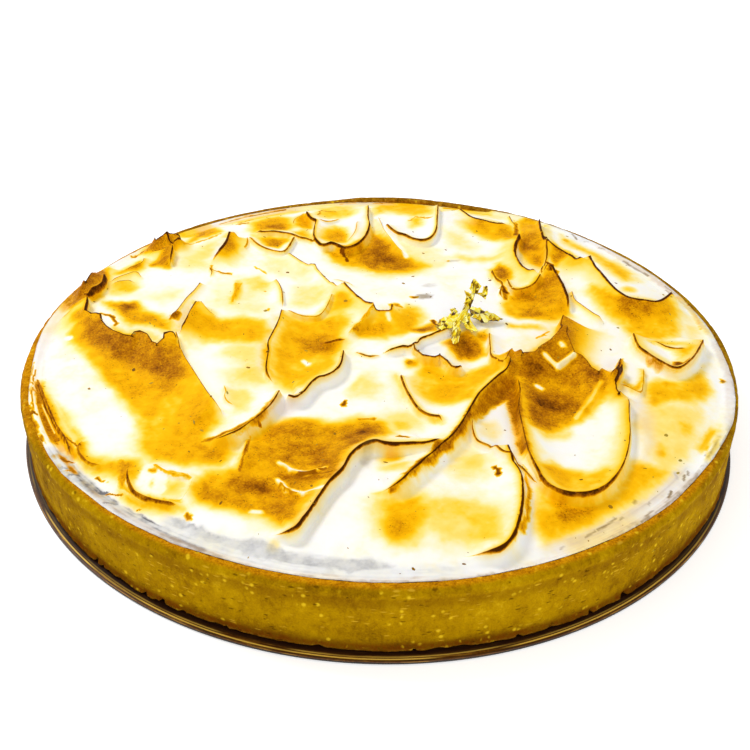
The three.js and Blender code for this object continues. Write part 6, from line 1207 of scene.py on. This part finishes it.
# ------------------------------------------------------------------ cake card
def card_material():
    m = Mat("gold_card")
    sep = m.t.nodes.new("ShaderNodeSeparateXYZ")
    m.link(m.coord, sep.inputs[0])
    x = m.math("SUBTRACT", sep.outputs[0], CARD_AT[0] * MM)
    y = m.math("SUBTRACT", sep.outputs[1], CARD_AT[1] * MM)
    rad = m.math("SQRT", m.math("ADD", m.math("MULTIPLY", x, x), m.math("MULTIPLY", y, y)))
    # painted reflection: the gold face is coloured dark brown, as the crust's wall mirrored in it
    big = m.noise(90, 3, 0.6)
    fine = m.noise(1600, 2, 0.6)
    face = m.ramp(m.math("ADD", m.math("MULTIPLY", big, 0.6), m.math("MULTIPLY", fine, 0.4)), [(0.34, rgb(64, 28, 0)), (0.5, rgb(94, 52, 4)), (0.66, rgb(136, 88, 12))])
    ang = m.math("ARCTAN2", y, x)
    polar = m.t.nodes.new("ShaderNodeCombineXYZ")
    m.link(m.math("MULTIPLY", rad, 2600), polar.inputs[0])
    m.link(m.math("MULTIPLY", ang, 9), polar.inputs[1])
    ring = m.noise(1.0, 3, 0.65, polar.outputs[0])
    # painted reflection and highlights: darker and lighter streaks that run round the card
    face = m.mix(m.math("MULTIPLY", m.range(ring, 0.38, 0.48, 1.0, 0.0), 0.85), face, rgb(42, 12, 0))
    face = m.mix(m.math("MULTIPLY", m.range(ring, 0.55, 0.64), 0.5), face, rgb(222, 168, 60))
    # thin broken glints that run round it
    for at, scale, part in ((0.10862, 40, 0.75), (0.10935, 30, 1.0)):
        gleam = m.range(m.math("ABSOLUTE", m.math("SUBTRACT", rad, at)), 0.00008, 0.00030, 1.0, 0.0)
        face = m.mix(m.math("MULTIPLY", m.math("MULTIPLY", gleam, m.range(m.noise(scale, 1, 0.5), 0.38, 0.52)), part), face, rgb(255, 216, 92))
    # the case keeps the light off the card beside it
    near = m.math("SQRT", m.math("ADD", m.math("MULTIPLY", sep.outputs[0], sep.outputs[0]), m.math("MULTIPLY", sep.outputs[1], sep.outputs[1])))
    face = m.mix(m.math("MULTIPLY", m.range(near, 0.1102, 0.1115, 1.0, 0.0), 0.92), face, rgb(30, 4, 0))
    # a thin dark line of varying strength along the pressed outer edge
    bead = m.math("MULTIPLY", m.math("MULTIPLY", m.range(rad, 0.10972, 0.10984), m.range(rad, 0.11000, 0.11014, 1.0, 0.0)), m.range(m.math("ADD", m.math("MULTIPLY", fine, 0.5), m.math("MULTIPLY", m.noise(420, 2, 0.6), 0.5)), 0.42, 0.58, 0.10, 1.0))
    face = m.mix(bead, face, rgb(66, 48, 28))
    core = m.ramp(fine, [(0.3, rgb(22, 16, 10)), (0.7, rgb(46, 34, 22))])
    col = m.mix(m.range(sep.outputs[2], 0.00060, 0.00068), core, face)
    m.link(col, m.b.inputs["Base Color"])
    m.b.inputs["Metallic"].default_value = 0.20
    m.b.inputs["Roughness"].default_value = 0.42
    m.link(m.bump(m.math("ADD", fine, big), 0.00008, 0.6), m.b.inputs["Normal"])
    return m.m


CARD_R, CARD_AT = 110.33, (-0.10, -2.60)


def build_card():
    R = CARD_R
    prof = [(0, 0), (60, 0), (R - 0.2, 0), (R - 0.05, 0.05), (R, 0.16), (R, 0.4), (R, 0.62), (R - 0.06, 0.74), (R - 0.18, 0.79), (R - 0.4, 0.8), (R - 0.9, 0.8),
            (R - 1.5, 0.8), (R - 2.5, 0.8), (100, 0.8), (60, 0.8), (0, 0.8)]
    V, F = revolve([(r, z, "") for r, z in prof], 360, lambda row, a: (row[0] + 0 * a, row[1] + 0 * a))
    return [(x + CARD_AT[0], y + CARD_AT[1], z) for (x, y, z) in V], F


V, F = build_card()
card = make_mesh("cake_card_gold", V, F)
card.data.materials.append(card_material())
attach(card, "root")
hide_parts("cake_card")


# ------------------------------------------------------------------ gold leaf
def build_leaf():
    rng = random.Random(11)
    verts, faces, reflection_tone = [], [], []
    T = 0.14
    for push, corners in FLAKES:
        c = [Vector(p) for p in corners]
        n = len(c)
        mid = sum(c, Vector()) / n
        nor = Vector()
        for i in range(n):
            nor += (c[i] - mid).cross(c[(i + 1) % n] - mid)
        nor.normalize()
        if nor.z < 0:
            nor = -nor
            c = c[::-1]
        mid += nor * push
        # fan, then two rounds of splitting with a shake each time
        # each facet carries a random value that picks its colour: painted reflection of the dark and bright
        # surroundings mirrored by the crumpled metal
        P, tri = [*c, mid], [(i, (i + 1) % n, n, rng.random()) for i in range(n)]
        amp = 0.55
        for step in range(2):
            cut, new = {}, []
            for (a, b, d, t) in tri:
                q = []
                for (u, v) in ((a, b), (b, d), (d, a)):
                    k = (min(u, v), max(u, v))
                    if k not in cut:
                        cut[k] = len(P)
                        jit = Vector((rng.uniform(-1, 1), rng.uniform(-1, 1), rng.uniform(-1, 1))) * amp * 0.45
                        P.append((P[u] + P[v]) / 2 + nor * rng.uniform(-1, 1) * amp + jit)
                    q.append(cut[k])
                for f in ((a, q[0], q[2]), (q[0], b, q[1]), (q[2], q[1], d), (q[0], q[1], q[2])):
                    new.append((*f, (0.40 * t + 0.60 * rng.random()) if step == 0 else (0.86 * t + 0.14 * rng.random())))
            tri, amp = new, amp * 0.55
        b0 = len(verts)
        N = len(P)
        for h in (-T / 2, T / 2):
            verts += [tuple(p + nor * h) for p in P]
        count = {}
        for (a, b, d, t) in tri:
            for e in ((a, b), (b, d), (d, a)):
                count[e] = 1
            faces.append((b0 + N + a, b0 + N + b, b0 + N + d))
            faces.append((b0 + a, b0 + d, b0 + b))
            reflection_tone += [t, t]
        for (a, b) in count:
            if (b, a) not in count:
                faces.append((b0 + a, b0 + b, b0 + N + b, b0 + N + a))
                # painted reflection: the thin edges get a dark value
                reflection_tone.append(0.1)
    return verts, faces, reflection_tone


def leaf_material():
    m = Mat("gold_leaf_metal")
    a = m.noise(480, 2, 0.55)
    # painted reflection: the per-facet value, shaken by noise, picks a colour from dark olive-brown to pale yellow; the
    # metal itself reflects little
    t = m.math("ADD", m.math("MULTIPLY_ADD", m.attr("reflection_tone"), 1.5, -0.16), m.math("MULTIPLY_ADD", a, 0.30, -0.15))
    col = m.ramp(t, [(0.12, rgb(74, 44, 0)), (0.24, rgb(136, 98, 0)), (0.38, rgb(214, 176, 0)), (0.52, rgb(248, 218, 8)), (0.72, rgb(255, 236, 58)), (0.90, rgb(255, 250, 160))])
    m.link(col, m.b.inputs["Base Color"])
    m.b.inputs["Metallic"].default_value = 0.05
    m.link(m.range(a, 0.3, 0.7, 0.46, 0.30), m.b.inputs["Roughness"])
    m.b.inputs["Specular IOR Level"].default_value = 0.22
    m.link(m.bump(a, 0.00015, 0.5), m.b.inputs["Normal"])
    return m.m


V, F, reflection_tone = build_leaf()
leaf = make_mesh("gold_leaf_twist", V, F, smooth=False)
t_attr = leaf.data.attributes.new("reflection_tone", "FLOAT", "FACE")
t_attr.data.foreach_set("value", np.asarray(reflection_tone, np.float32))
leaf.data.materials.append(leaf_material())
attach(leaf, "root")
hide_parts("gold_leaf")


# ------------------------------------------------------------------ floor, light
def build_stage():
    me = bpy.data.meshes.new("floor")
    s = 6.0
    me.from_pydata([(-s, -s, 0), (s, -s, 0), (s, s, 0), (-s, s, 0)], [], [(0, 1, 2, 3)])
    floor = bpy.data.objects.new("floor", me)
    floor.location.z = -0.0002
    bpy.context.scene.collection.objects.link(floor)
    m = Mat("floor_pale")
    m.link(m.ramp(m.noise(3, 2, 0.5), [(0.3, (0.93, 0.93, 0.92, 1)), (0.7, (0.95, 0.95, 0.945, 1))]), m.b.inputs["Base Color"])
    m.b.inputs["Roughness"].default_value = 0.85
    m.b.inputs["Specular IOR Level"].default_value = 0.0
    m.b.inputs["Emission Color"].default_value = (1, 1, 1, 1)
    m.b.inputs["Emission Strength"].default_value = 0.42
    me.materials.append(m.m)
    w = bpy.data.worlds.new("world")
    w.use_nodes = True
    bg = w.node_tree.nodes["Background"]
    bg.inputs[0].default_value = (1.0, 1.0, 1.0, 1)
    bg.inputs[1].default_value = 0.65
    bpy.context.scene.world = w

    def area(name, loc, size, power, colour=(1, 1, 1)):
        d = bpy.data.lights.new(name, "AREA")
        d.shape = "DISK"
        d.size, d.energy, d.color = size, power, colour
        o = bpy.data.objects.new(name, d)
        o.location = loc
        o.rotation_euler = (Vector((0, 0, 0.02)) - Vector(loc)).to_track_quat("-Z", "Y").to_euler()
        bpy.context.scene.collection.objects.link(o)

    area("key", (-0.50, 0.32, 0.78), 0.30, 4.2)
    area("fill", (0.35, -0.75, 0.55), 0.9, 2.0)


build_stage()
sc = bpy.context.scene
sc.view_settings.view_transform = "Standard"
sc.view_settings.look = "None"
sc.view_settings.exposure = 0.0
sc.view_settings.gamma = 1.0
